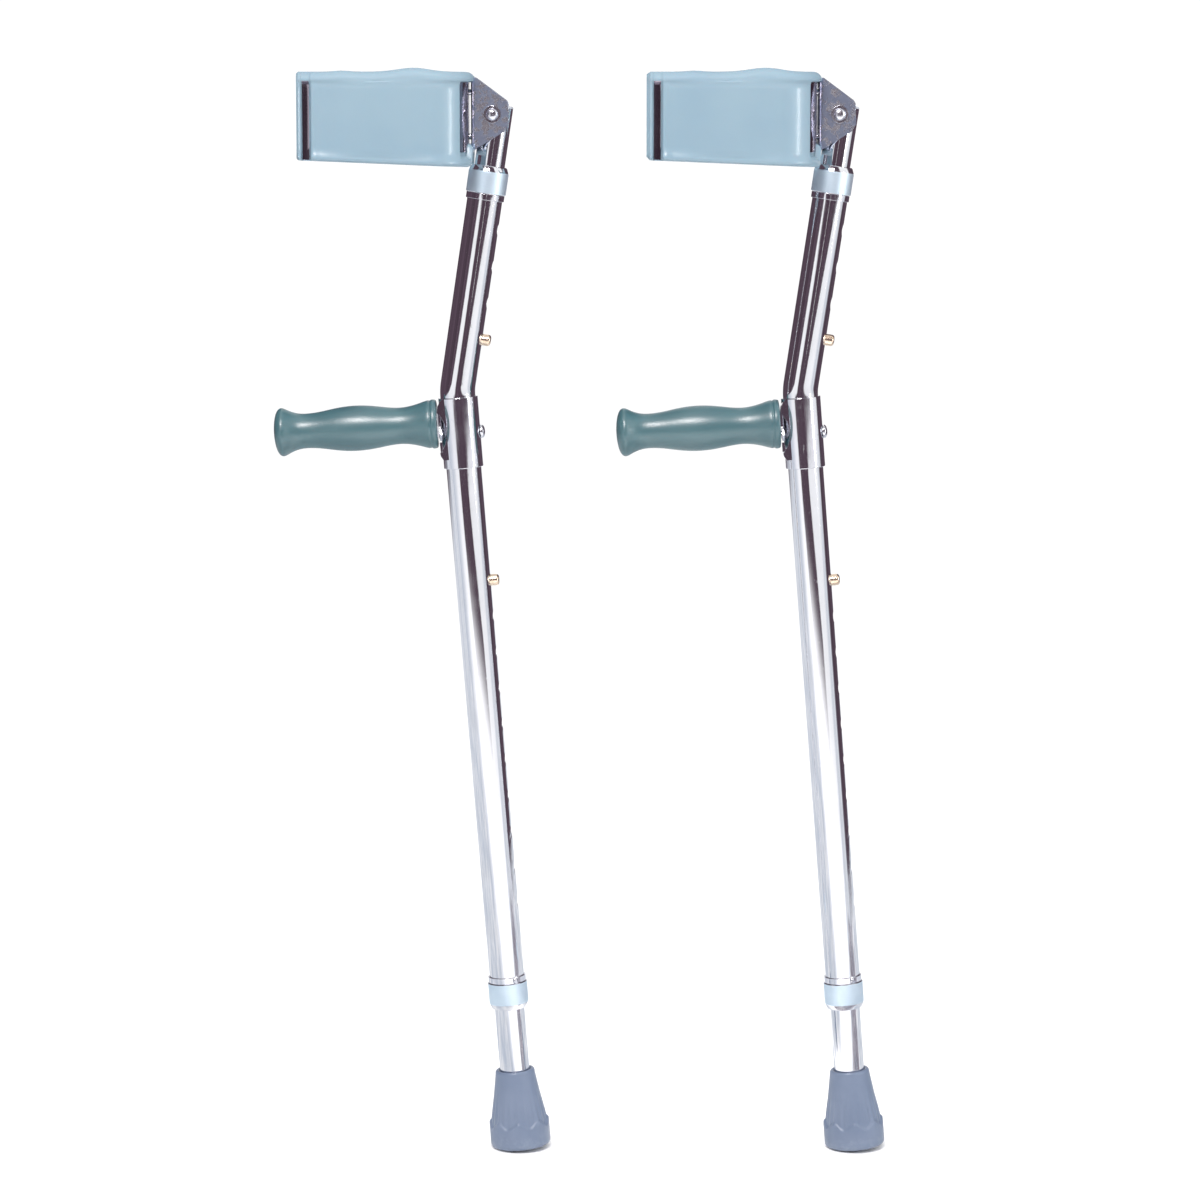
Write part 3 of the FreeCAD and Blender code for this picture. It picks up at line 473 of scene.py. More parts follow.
def nylon_finish(name, tint, shade):
    f = Finish(name, IOR=1.5)
    tone = f.noise(300.0, 3.0, 0.6)
    f.bump(f.noise(1800.0, 2.0, 0.6), 0.1, 0.0003)
    return f.set(Base_Color=f.blend(tone.between(0.35, 0.7), tint, shade),
                 Roughness=0.38 + tone * 0.12)


cuff_vinyl = soft_vinyl("cuff vinyl", colour(124, 147, 160), colour(118, 142, 157), gloss=0.28,
                        peel=0.06, peel_size=240.0, clouds=14.0, coat=0.35, dull=0.7445)
grip_vinyl = soft_vinyl("grip vinyl", colour(56, 94, 101), colour(48, 87, 95), gloss=0.35,
                        peel=0.14, peel_size=800.0, clouds=30.0, index=1.85)
tip_rubber = tip_rubber_finish("tip rubber")
nylon = nylon_finish("nylon bush", colour(214, 216, 214), colour(200, 203, 203))
cap_plastic = nylon_finish("cap plastic", colour(178, 182, 190), colour(160, 165, 174))
print("moulded finishes made")

# %% [markdown]
# ## Pierced tubes
# The outer tube has one row of holes at the back of each straight part. A Boolean would cut
# them, but it leaves long thin faces that spoil a mirror finish. Instead the wall is grown ring by
# ring: a circle is extruded up the centre line, bending where the line bends. At each hole a small
# patch of the wall is taken out, and its border is extruded inwards onto a true circle. A Solidify
# modifier then gives the wall its thickness.

# %% A tube grown along a line, with round holes
COLUMNS = 96
PATCH_COLUMNS = 7.5
PATCH_HALF = 5.6


def patch_heights(hole_heights):
    """Rings that the holes need, above and below each middle."""
    rings = set()
    for middle in hole_heights:
        for step in range(-4, 5):
            rings.add(round(middle + step * PATCH_HALF / 4, 4))
    return rings


def grow_tube(radius, heights, line):
    """Extrude a ring up a centre line that gives a matrix in millimetres at each height."""
    bm = bmesh.new()
    bmesh.ops.create_circle(bm, radius=radius, segments=COLUMNS)
    edges = bm.edges[:]
    bmesh.ops.transform(bm, matrix=line(heights[0]), verts=bm.verts[:])
    for low, high in zip(heights, heights[1:]):
        grown = bmesh.ops.extrude_edge_only(bm, edges=edges)["geom"]
        edges = [g for g in grown if isinstance(g, bmesh.types.BMEdge)]
        bmesh.ops.transform(bm, matrix=line(high) @ line(low).inverted(), verts=verts_in(grown))
    face_out(bm)
    return bm


def pierce(bm, radius, frame_mm):
    """Open one round hole, where the local X axis of a frame leaves the tube."""
    back = frame_mm.inverted()
    reach = PATCH_COLUMNS * math.tau / COLUMNS

    def unrolled(point):
        p = back @ point
        return math.atan2(p.y, p.x), p.z

    patch = []
    for face in bm.faces:
        angle, rise = unrolled(face.calc_center_median())
        if abs(angle) < reach and abs(rise) < PATCH_HALF:
            patch.append(face)
    bmesh.ops.delete(bm, geom=patch, context="FACES_ONLY")
    border = []
    for edge in bm.edges:
        if not edge.is_boundary:
            continue
        spots = [unrolled(v.co) for v in edge.verts]
        if all(abs(a) < reach + 0.05 and abs(z) < PATCH_HALF + 0.1 for a, z in spots):
            border.append(edge)
    grown = bmesh.ops.extrude_edge_only(bm, edges=border)["geom"]
    for vert in verts_in(grown):
        angle, rise = unrolled(vert.co)
        away = Vector((angle * radius, rise)).normalized() * BUTTON_HOLE
        spot = Vector((radius * math.cos(away.x / radius),
                       radius * math.sin(away.x / radius), away.y))
        vert.co = frame_mm @ spot


def straight(height):
    return Matrix.Translation((0, 0, height))


BEND_RADIUS = 40.0
BEND_REACH = BEND_RADIUS * math.tan(math.radians(BEND / 2))
BEND_START = BEND_CORNER - BEND_REACH
BEND_LENGTH = BEND_RADIUS * math.radians(BEND)


def bent(distance):
    """The outer tube's line: straight, a short bend to the rear, and straight again."""
    if distance <= BEND_START:
        return straight(distance)
    corner = Matrix.Translation((BEND_RADIUS, 0, BEND_START))
    angle = min(distance - BEND_START, BEND_LENGTH) / BEND_RADIUS
    rest = max(distance - BEND_START - BEND_LENGTH, 0.0)
    swing = corner @ Matrix.Rotation(angle, 4, "Y") @ corner.inverted()
    return swing @ straight(BEND_START + rest)


def along_upper(distance):
    """The same line, measured up the upper part from the corner of its two axes."""
    return BEND_START + BEND_LENGTH + distance - BEND_REACH


def sheet_wall(thickness, edge=0.22, offset=-1.0):
    """Modifiers that give a sheet its thickness and round its edges."""
    return [("SOLIDIFY", {"thickness": thickness * MM, "offset": offset,
                          "use_even_offset": True}),
            ("BEVEL", {"width": edge * MM, "segments": 2, "limit_method": "ANGLE",
                       "angle_limit": math.radians(50)})]


# %% The outer tube
PITCH = 25.4
holes = [LEG_LOCK - i * PITCH for i in range(10)]
holes += [along_upper(FOREARM_LOCK + i * PITCH) for i in range(4)]
bend_rings = [BEND_START + BEND_LENGTH * i / 6 for i in range(7)]
rings = sorted({107.0, along_upper(150.0), 470.0, *bend_rings} | patch_heights(holes))
tube = grow_tube(OUTER_TUBE, rings, bent)
for height in holes:
    pierce(tube, OUTER_TUBE, bent(height))
set_down("bent_tube", tube, LOWER, [polished_tube], "frame", "outer_tube",
         sharp=50, extras=sheet_wall(1.4))

# %% The leg tube and the forearm tube
for limb, station, lock, foot, top in (("leg", LOWER, LEG_LOCK, 10.0, 440.0),
                                       ("forearm", UPPER, FOREARM_LOCK, 20.0, 196.4)):
    tube = grow_tube(INNER_TUBE, sorted({foot, top} | patch_heights([lock])), straight)
    pierce(tube, INNER_TUBE, straight(lock))
    set_down(f"{limb}_tube_drawn", tube, station, [polished_tube], limb, f"{limb}_tube",
             sharp=50, extras=sheet_wall(1.2))

cap = soften(turned([(0, 193.9), (9.2, 193.9), (9.2, 196.4), (10.5, 196.4), (10.5, 197.1),
                     (9.9, 197.9), (6.0, 198.2), (0, 198.3)]), 0.25)
set_down("end_cap", cap, UPPER, [cap_plastic], "forearm", "forearm_tube_cap")

# %% [markdown]
# ## Collars and clamp rings
# A collar closes each end of the outer tube and keeps the sliding tube from rattling: a wide
# blasted band, then a polished shoulder that runs in to the smaller tube. Beside it sits a split
# ring with a small pan-head screw. The ring is a spin that stops short of a full turn, which
# leaves the slit. The collar is one mesh with two material slots, the second for its band.


# %% Collars, clamp rings and their screws
def collar():
    bm = turned([(11.2, 0.0), (11.7, 0.0), (12.3, 0.5), (13.2, 2.6), (13.6, 3.8), (13.8, 4.9),
                 (13.8, 18.6), (13.5, 19.0), (12.25, 19.0), (12.25, 1.2), (11.2, 1.2)],
                closed=True)
    for face in bm.faces:
        middle = face.calc_center_median()
        if middle.xy.length > 13.65 and 4.0 < middle.z < 18.7:
            face.material_index = 1
    return soften(bm, 0.12, 2, 40)


def clamp_ring():
    bm = bmesh.new()
    outline(bm, [(12.25, 19.15), (13.2, 19.15), (13.2, 23.4), (12.25, 23.4)], closed=True)
    half_gap = math.asin(0.8 / 13.2)
    bmesh.ops.rotate(bm, verts=bm.verts[:], cent=(0, 0, 0),
                     matrix=Matrix.Rotation(half_gap, 3, "Z"))
    filled(bm)
    bmesh.ops.spin(bm, geom=bm.faces[:], cent=(0, 0, 0), axis=(0, 0, 1),
                   angle=math.tau - 2 * half_gap, steps=90)
    face_out(bm)
    return soften(bm, 0.25, 3, 40)


def pan_screw():
    """A pan head with a shallow socket sunk into its crown."""
    bm = turned([(0, 12.4), (1.2, 12.4), (1.2, 13.2), (2.1, 13.2), (2.1, 13.7), (1.8, 14.3),
                 (1.1, 14.62), (0, 14.7)], 36)
    bm.faces.ensure_lookup_table()
    crown = [f for f in bm.faces if f.calc_center_median().z > 14.6]
    bmesh.ops.inset_region(bm, faces=crown, thickness=0.2, depth=0.0)
    slide(bm, {v for f in crown for v in f.verts}, z=-0.7)
    return bm


for end, station in (("lower", LOWER_COLLAR), ("upper", UPPER_COLLAR)):
    set_down(f"{end}_collar_turned", collar(), station, [polished_shoulder, satin_band],
             "frame", f"{end}_collar", sharp=35)
    set_down(f"{end}_split_ring", clamp_ring(), station, [polished_bracket], "frame",
             f"{end}_clamp_ring")
    set_down(f"{end}_ring_screw", pan_screw(), station @ RING_SCREW, [plain_steel], "frame",
             f"{end}_clamp_screw", sharp=45)

# %% [markdown]
# ## Handle bracket
# A sleeve grips the outer tube, and a pressed saddle in front of it carries the grip. The
# saddle's front is scooped out in an arc, which leaves the lens-shaped opening where the nut of
# the through bolt shows. Its side view is drawn as an outline with that arc in it, then extruded
# across in slices. The inner vertices of each slice are pushed onto the round tube, so the saddle
# hugs it. A thin web stands in the middle of the opening, above and below the nut.

# %% Sleeve and saddle
SADDLE_HALF = 10.0
SADDLE_REAR = -9.0
SADDLE_FRONT = -15.2
SLICES = 10
HUG_RADIUS = 12.5
WEB_HALF = 1.2
WINDOW = Vector((-29.3, 0.0, 509.6))
WINDOW_RADIUS = 19.8


def saddle():
    bm = bmesh.new()
    half_arc = math.acos((SADDLE_FRONT - WINDOW.x) / WINDOW_RADIUS)
    rear = [(SADDLE_REAR, 490.6), (SADDLE_REAR, 533.0)]
    top = [(-10.6, 533.0), (-12.8, 531.0), (-14.4, 528.0), (SADDLE_FRONT, 523.6)]
    arc = [(WINDOW.x + WINDOW_RADIUS * math.cos(half_arc * k / 8),
            WINDOW.z + WINDOW_RADIUS * math.sin(half_arc * k / 8)) for k in range(7, -8, -1)]
    foot = [(SADDLE_FRONT, 495.6), (-14.8, 493.4), (-13.2, 490.6)]
    outline(bm, rear + top + arc + foot, closed=True)
    face = filled(bm)
    slide(bm, bm.verts, y=-SADDLE_HALF)
    for step in range(SLICES):
        grown = bmesh.ops.extrude_face_region(bm, geom=face)["geom"]
        face = [g for g in grown if isinstance(g, bmesh.types.BMFace)]
        slide(bm, {v for f in face for v in f.verts}, y=2 * SADDLE_HALF / SLICES)
    inner = [f for f in bm.faces if len(f.verts) > 4 and
             abs(abs(f.calc_center_median().y) - SADDLE_HALF) > 0.5]
    bmesh.ops.delete(bm, geom=inner, context="FACES_ONLY")
    for vert in bm.verts:
        if vert.co.x > SADDLE_REAR - 0.1:
            vert.co.x = -math.sqrt(HUG_RADIUS ** 2 - vert.co.y ** 2)
    face_out(bm)
    side = [e for e in bm.edges if e.is_manifold and e.calc_face_angle() > math.radians(50)
            and all(abs(abs(v.co.y) - SADDLE_HALF) < 0.01 for v in e.verts)
            and all(v.co.x < -9.8 for v in e.verts)]
    return roll(bm, side, 1.6, 4)


def web_half(points):
    """One half of the web in the middle of the saddle, above or below the nut."""
    bm = bmesh.new()
    outline(bm, points, closed=True)
    face = filled(bm)
    slide(bm, bm.verts, y=-WEB_HALF)
    slide(bm, bmesh.ops.extrude_face_region(bm, geom=face)["geom"], y=2 * WEB_HALF)
    face_out(bm)
    return soften(bm, 0.2, 2, 40)


def sleeve():
    bm = turned([(12.25, 484.0), (13.7, 484.0), (13.7, 533.0), (12.25, 533.0)], closed=True)
    return soften(bm, 0.4, 3)


grip_steel = add(sleeve(), saddle())
add(grip_steel, web_half([(-12.5, 532.6), (-12.5, 513.4), (-15.2, 513.4), (-15.2, 523.2),
                            (-14.4, 527.8), (-12.9, 530.8)]))
add(grip_steel, web_half([(-12.5, 502.4), (-12.5, 490.8), (-13.2, 490.8), (-14.8, 493.6),
                            (-15.2, 496.0), (-15.2, 502.4)]))
set_down("grip_saddle_and_sleeve", grip_steel, LOWER, [polished_bracket], "frame",
         "handle_bracket")

# %% [markdown]
# ## Bolts, nuts, washers, rivets and buttons
# Small fasteners catch the light and give a made thing its scale. The domes are turned, the nuts
# are six-sided discs with softened corners, and the snap buttons are brass stems with a rounded
# top.


# %% Fasteners
def nut(low, high):
    bm = bmesh.new()
    bmesh.ops.create_circle(bm, radius=5.0, segments=6, cap_ends=True)
    slide(bm, bm.verts, z=low)
    slide(bm, bmesh.ops.extrude_face_region(bm, geom=bm.faces[:])["geom"], z=high - low)
    face_out(bm)
    return soften(bm, 0.35, 2, 20)


def dome_points(radius, base, top, rise=0.35):
    """The outline of a domed head from its rim to its crown."""
    height = top - base
    rim = base + height * rise
    points = [(radius, base), (radius, rim)]
    for k in range(1, 8):
        angle = math.radians(90 * k / 7)
        points.append((radius * math.cos(angle), rim + (top - rim) * math.sin(angle)))
    return points


bolt = turned([(0, -15.2), (2.7, -15.2), (2.9, -14.9), (2.9, 13.7)]
              + dome_points(4.6, 13.7, 16.8), 48)
pivot = turned([(0, -18.6), (2.7, -18.6), (2.95, -18.3), (2.95, 14.0)]
               + dome_points(4.1, 14.0, 16.8, 0.25), 48)
for name, mesh, station, body, node in (
        ("bracket_bolt_domed", bolt, BOLT, "frame", "bracket_bolt"),
        ("bracket_nut_hex", nut(12.4, 14.8), NUT, "frame", "bracket_nut"),
        ("pivot_bolt_domed", pivot, PIVOT, "cuff", "pivot_bolt"),
        ("pivot_nut_hex", nut(14.0, 17.6), PIVOT_FAR, "cuff", "pivot_nut")):
    set_down(name, mesh, station, [plain_steel], body, node)


def washer(low, high):
    bm = turned([(2.95, low), (6.0, low), (6.0, high), (2.95, high)], 64, closed=True)
    return soften(bm, 0.2, 2)


set_down("pivot_washer_pair", add(washer(13.0, 14.0), washer(-14.0, -13.0)), PIVOT,
         [plain_steel], "cuff", "pivot_washers")

rivets = bmesh.new()
for y in (-6.5, 6.5):
    for z in (-15.0, 15.0):
        rivet = turned([(0, -17.3), (2.0, -17.3), (2.0, -12.6)] + dome_points(3.4, -12.6, -11.4),
                       32)
        add(rivets, moved(rivet, shift(y=y, z=z) @ turn(90, "Y")))
set_down("cuff_rivet_set", rivets, CUFF, [plain_steel], "cuff", "cuff_rivets")


def button():
    crown = [(4.0, 16.0), (3.86, 16.7), (3.5, 17.3), (2.9, 17.75), (2.0, 18.0), (0, 18.1)]
    bm = turned([(0, 6.2), (5.0, 6.2), (5.0, 7.6), (4.0, 7.6)] + crown, 48)
    return soften(bm, 0.15, 2, 45)


for limb, station in (("leg", LEG_BUTTON), ("forearm", FOREARM_BUTTON)):
    set_down(f"{limb}_snap_button", button(), station, [brass], f"{limb}_lock",
             f"{limb}_button")

# %% [markdown]
# ## Leaf springs inside the tubes
# Under each button is a strip of steel bent to a U. The button stands on its rear leg and the tube
# holds the front one, so on the real crutch the strip bends between the two when the button is
# pressed. Here the strip is baked in place and moves with no body.

# %% Leaf springs
SPRING_REAR = 5.8
SPRING_RADIUS = 6.9
SPRING_MIDDLE = SPRING_REAR - SPRING_RADIUS
SPRING_FRONT = SPRING_MIDDLE - SPRING_RADIUS
SPRING_TOP = 20.0
SPRING_HALF = 3.5
SPRING_SHEET = 0.78


def leaf_spring():
    path = [(SPRING_REAR, z) for z in (-6.0, -3.0, 0.0, 3.0, 6.0, 10.0, 15.0)]
    path += [(SPRING_MIDDLE + SPRING_RADIUS * math.cos(math.pi * k / 24),
              SPRING_TOP + SPRING_RADIUS * math.sin(math.pi * k / 24)) for k in range(25)]
    path += [(SPRING_FRONT, z) for z in (15.0, 8.0, 1.0, -6.0)]
    bm = bmesh.new()
    outline(bm, path)
    slide(bm, bm.verts, y=-SPRING_HALF)
    slide(bm, bmesh.ops.extrude_edge_only(bm, edges=bm.edges[:])["geom"], y=2 * SPRING_HALF)
    face_out(bm)
    bmesh.ops.solidify(bm, geom=bm.faces[:], thickness=SPRING_SHEET)
    face_out(bm)
    tail = [v.co.x for v in bm.verts if v.co.z < 0 < v.co.x]
    slide(bm, bm.verts, x=SPRING_REAR - sum(tail) / len(tail))
    return bm


for limb, station in (("leg", shift(z=LEG_LOCK)), ("forearm", UPPER @ shift(z=FOREARM_LOCK))):
    set_down(f"{limb}_leaf_spring", leaf_spring(), station, [plain_steel], limb,
             f"{limb}_button_spring",
             across=(f"{limb}_lock", (SPRING_FRONT + 0.8, 0, 0), (SPRING_REAR - 0.6, 0, 0)))

# %% [markdown]
# ## Hand grip
# The grip is moulded over a steel core: a flare at each end, two waists for the fingers and a
# swell under the palm, with a shallow crease near the rear edge. It is round, so it is turned. A
# Subdivision Surface then smooths the outline into one flowing line.

# %% Grip
grip_outline = [
    (11.0, 15.65), (15.9, 15.65), (16.6, 16.1), (17.0, 17.4), (17.1, 18.6), (16.9, 19.5),
    (16.35, 20.0), (16.35, 20.6), (16.7, 21.1), (16.4, 23.0), (15.4, 26.0),
    (14.2, 30.0), (13.2, 34.5), (12.6, 39.2), (12.6, 44.0), (13.2, 49.5), (14.3, 56.0),
    (15.3, 63.0), (15.75, 70.0), (15.7, 76.0), (15.1, 83.0), (13.9, 90.0), (12.6, 97.0),
    (11.95, 104.0), (12.0, 109.5), (12.9, 114.0), (14.6, 118.2), (16.2, 121.0), (16.9, 123.0),
    (16.5, 124.8), (14.6, 126.6), (11.0, 127.9), (6.5, 128.7), (2.5, 129.0), (0, 129.0)]
grip = turned([(0, 15.65)] + grip_outline, 64)
set_down("grip_moulding", grip, GRIP, [grip_vinyl], "frame", "hand_grip",
         sharp=80, extras=[("SUBSURF", {"levels": 1, "render_levels": 1})])

# %% [markdown]
# ## Rubber tip
# The tip is a thick rubber cup. Its cone runs down to a wide foot, with faint upright ribs on
# its lower half and a shoulder that waves up and down round the foot. Rings cut in its
# underside give grip. The cup is turned, then the ribs and the waves are pressed in by moving
# its vertices a little in or out, up or down, by their angle.

# %% Tip
WAVES, WAVE_RISE = 8, 2.0
RIBS, RIB_SHARE = 24, 0.02
tip_outline = [(0, 1.2), (4.2, 1.2), (4.6, 0.0), (8.2, 0.0), (8.6, 1.2), (11.8, 1.2), (12.2, 0.0),
               (15.4, 0.0), (15.8, 1.2), (17.4, 1.2), (17.8, 0.0), (19.4, 0.0), (20.4, 0.5),
               (21.0, 1.6), (21.2, 3.0), (21.2, 9.0), (21.15, 14.6), (20.9, 16.2), (20.3, 17.1),
               (19.7, 17.6), (19.35, 18.4), (19.1, 20.0), (18.4, 24.4), (17.5, 30.0),
               (16.4, 36.5), (15.4, 43.0), (14.6, 48.0), (14.1, 51.4), (13.9, 53.2),
               (13.4, 54.3), (12.5, 54.8), (11.4, 54.6), (10.8, 54.0), (10.55, 53.0),
               (10.55, 8.0), (0, 8.0)]
tip = turned(tip_outline, 144)
for vert in tip.verts:
    reach = vert.co.xy.length
    angle = math.atan2(vert.co.y, vert.co.x)
    if reach > 11.0 and vert.co.z > 13.0:
        shoulder = math.exp(-((vert.co.z - 17.0) / 3.2) ** 2)
        vert.co.z += WAVE_RISE * shoulder * math.cos(WAVES * angle)
        low_cone = math.exp(-((vert.co.z - 25.0) / 7.5) ** 2)
        scale = 1 + RIB_SHARE * low_cone * math.cos(RIBS * angle)
        vert.co.x *= scale
        vert.co.y *= scale
set_down("foot_rubber", tip, LOWER, [tip_rubber], "leg", "rubber_tip", sharp=50)

# %% [markdown]
# ## Cuff
# The cuff is a steel band dipped in vinyl, bent to a U that opens to the front. The rims are
# thick: they swell outwards and curl in at the top. The upper rim rises in a soft hump, each side
# bulges a little, and the front ends in a rolled lip with a groove behind it. The floor of the
# groove takes the dark plum band steel, which paints the shade in that crease. At the rear the
# vinyl stops short and shows the band, whose dark tint is painted shade there as well. One grid of
# faces is laid along the U: its columns follow the plan and its rows go round the cross-section.
# Half is shaped, and a mirror makes the other half.

# %% The vinyl cover
CUFF_FRONT = -131.0
CUFF_REAR = -14.4
CUFF_SIDE = 46.0
CORNER = 30.0
CUFF_RUN = CUFF_REAR - CORNER - CUFF_FRONT
CUFF_ARC = CORNER * math.pi / 2
RIM = 28.7
GROOVE = (3.0, 8.6)
GROOVE_DEPTH = 2.4
BELLY = 1.6
BELLY_SPAN = (8.0, 95.0)
BARE_FROM = CUFF_RUN + 26.4
BARE_DEPTH = 2.3


def plan_of_cuff(s):
    """A point of the outer face in plan, and the way outwards, at a distance from the front."""
    if s < CUFF_RUN:
        return Vector((CUFF_FRONT + s, -CUFF_SIDE, 0)), Vector((0, -1, 0))
    if s < CUFF_RUN + CUFF_ARC:
        angle = (s - CUFF_RUN) / CORNER
        out = Vector((math.sin(angle), -math.cos(angle), 0))
        middle = Vector((CUFF_REAR - CORNER, -CUFF_SIDE + CORNER, 0))
        return middle + out * CORNER, out
    past = s - CUFF_RUN - CUFF_ARC
    return Vector((CUFF_REAR, -CUFF_SIDE + CORNER + past, 0)), Vector((1, 0, 0))


def smooth(t):
    t = min(max(t, 0.0), 1.0)
    return t * t * (3 - 2 * t)


# Each row is (outwards, kind, height): from the lower edge, the middle or the upper edge.
SECTION = [
    (-2.6, "low", 0.0), (-0.6, "low", 0.05), (1.2, "low", 0.7), (1.95, "low", 1.8),
    (1.9, "low", 3.1), (1.2, "low", 5.0), (0.35, "low", 7.4), (0.0, "low", 10.0),
    (0.0, "mid", -12.0), (0.0, "mid", -4.0), (0.0, "mid", 4.0), (0.0, "mid", 12.0),
    (0.0, "top", -11.0), (0.15, "top", -8.6), (0.7, "top", -7.2), (1.6, "top", -6.2),
    (1.9, "top", -5.2), (1.7, "top", -4.0), (1.0, "top", -2.6), (-0.1, "top", -1.3),
    (-1.6, "top", -0.35), (-3.0, "top", 0.0), (-4.6, "top", -0.3), (-5.6, "top", -1.3),
    (-5.9, "top", -2.8), (-5.4, "top", -4.6), (-4.7, "top", -7.0), (-4.4, "top", -10.0),
    (-4.4, "mid", 8.0), (-4.4, "mid", 0.0), (-4.4, "mid", -8.0), (-4.4, "low", 9.0),
    (-4.5, "low", 4.0), (-4.6, "low", 1.8), (-4.2, "low", 0.5)]


def lip_shape(s):
    """How far the front of the wall swells out or is pressed in, and where the groove is."""
    swell = 1.2 * (1 - smooth((s - 1.6) / 1.4))
    after = 0.8 * math.exp(-((s - 12.4) / 2.4) ** 2)
    groove = smooth((s - GROOVE[0]) / 0.9) * (1 - smooth((s - GROOVE[1]) / 1.6))
    return swell + after - GROOVE_DEPTH * groove, groove


def hump(x):
    """The soft rise of the upper rim, and a smaller one near the front."""
    return 2.6 * math.exp(-((x + 52.0) / 15.0) ** 2) + 0.7 * math.exp(-((x + 100.0) / 7.0) ** 2)


def cover_point(s, row):
    """The place of one vertex, at a distance along the U and a row of the section."""
    spot, out = plan_of_cuff(s)
    offset, kind, value = SECTION[row]
    share = (spot.x - CUFF_FRONT) / (CUFF_REAR - CUFF_FRONT)
    low = -30.7 - 4.9 * share
    notch = smooth((spot.y + 24.0) / 3.0)
    low = low * (1 - notch) + -26.5 * notch
    if kind == "low":
        z = low + value
    elif kind == "top":
        z = RIM + value + hump(spot.x) * smooth((value + 8.6) / 6.0)
    else:
        z = value - 2.0 * share
    lip, groove = lip_shape(s)
    if kind == "low" and value > 0.6 and offset > -0.5:
        offset *= 1 - groove
    belly = BELLY * math.sin(math.pi * smooth((s - BELLY_SPAN[0]) / BELLY_SPAN[1]))
    outer_wall = SECTION[row][0] > -0.5
    if outer_wall and (kind == "mid" or abs(value) > 6.5):
        offset += belly
    if kind == "top" and value > -7.5:
        offset += lip * 0.35 if s < 12 else 0.0
    elif outer_wall:
        offset += lip
    else:
        offset += lip * 0.25 if s < 12 else 0.0
    ends = 1 - smooth(s / 1.5)
    offset = offset * (1 - ends) + ends * (-2.2 + (offset + 2.2) * 0.45)
    if ends and kind == "top":
        z -= ends * 1.2
    if ends and kind == "low":
        z += ends * 0.8
    # Past BARE_FROM the outer wall is pressed in to bare the dark band steel, which paints the
    # shade at the rear of the cuff.
    bare = smooth((s - BARE_FROM) / 0.8)
    if bare and outer_wall and (kind == "mid" or (kind == "top" and value < -7.0)
                                or (kind == "low" and value > 6.0)):
        offset = offset * (1 - bare) - BARE_DEPTH * bare
    return spot + out * offset + Vector((0, 0, z))


def mirrored(bm):
    """Add the other half of a mesh, across its Y axis."""
    bmesh.ops.mirror(bm, geom=bm.verts[:] + bm.edges[:] + bm.faces[:], axis="Y",
                     merge_dist=0.01)
    face_out(bm)


stops = [0.0, 0.3, 0.8, 1.5, 2.2, 3.0, 3.3, 3.6, 3.9, 5.0, 7.0, 8.6, 9.0, 9.4, 9.8, 10.2,
         11.0, 12.0, 13.5, 15.0, 17.5, 21.0, 26.0]
stops += [26.0 + (CUFF_RUN - 26.0) * k / 14 for k in range(1, 15)]
stops += [CUFF_RUN + CUFF_ARC * k / 24 for k in range(1, 25)]
stops += [BARE_FROM + d for d in (0.0, 0.25, 0.5, 0.8)]
stops += [CUFF_RUN + CUFF_ARC + d for d in (2.0, 5.0, 9.0, 13.0, 16.0)]
stops = sorted(stops)

cover = bmesh.new()
bmesh.ops.create_grid(cover, x_segments=len(stops) - 1, y_segments=len(SECTION), size=0.5)
for vert in cover.verts:
    column = round((vert.co.x + 0.5) * (len(stops) - 1))
    row = round((vert.co.y + 0.5) * len(SECTION))
    vert.co = cover_point(stops[column], row % len(SECTION))
bmesh.ops.remove_doubles(cover, verts=cover.verts[:], dist=0.001)
front = [e for e in cover.edges if e.is_boundary and e.calc_length() > 0
         and all(v.co.x < -100 for v in e.verts)]
bmesh.ops.holes_fill(cover, edges=front, sides=0)
mirrored(cover)
# Faces on the floor of the front groove take the second slot, the dark plum band steel, as painted
# shade in the crease.
for face in cover.faces:
    middle = face.calc_center_median()
    s = middle.x - CUFF_FRONT
    if GROOVE[0] + 0.9 < s < GROOVE[1] and abs(middle.y) > CUFF_SIDE - 3.6 \
            and abs(face.normal.y) > 0.5 and -30.4 < middle.z < 23.0 \
            and middle.y * face.normal.y > 0:
        face.material_index = 1
set_down("cuff_vinyl_cover", cover, CUFF, [cuff_vinyl, painted_shade_steel], "cuff",
         "cuff_cover", sharp=45)

# %% [markdown]
# ## Steel band in the cuff
# The band runs through the middle of the vinyl wall, from behind the front lip round to the same
# place on the far side. It is a grid with a single row of faces along the same plan. Its dark plum
# tint is painted shade where it shows at the rear of the cuff.

# %% The steel band inside the vinyl
BAND_IN = 1.5
BAND_HEIGHTS = (-25.5, 23.0)
band = bmesh.new()
band_stops = [9.0] + [stop for stop in stops if stop > 9.5]
bmesh.ops.create_grid(band, x_segments=len(band_stops) - 1, y_segments=1, size=0.5)
for vert in band.verts:
    spot, out = plan_of_cuff(band_stops[round((vert.co.x + 0.5) * (len(band_stops) - 1))])
    vert.co = spot - out * BAND_IN + Vector((0, 0, BAND_HEIGHTS[vert.co.y > 0]))
mirrored(band)
outwards = sum(f.normal.x for f in band.faces if f.calc_center_median().x > CUFF_REAR - 3)
if outwards < 0:
    bmesh.ops.reverse_faces(band, faces=band.faces[:])
set_down("cuff_steel_band", band, CUFF, [painted_shade_steel], "cuff", "cuff_band",
         extras=sheet_wall(1.4, 0.3))

# %% [markdown]
# ## Cuff bracket
# The bracket is one piece of zinc-plated sheet: a web that is riveted to the cuff and two ears
# that swing on the pivot bolt. One ear is a flat outline, its front edge is extruded across to
# make the web, and a copy of the ear is the far one. The two bends are bevelled round, and a
# Solidify modifier gives the sheet its thickness.

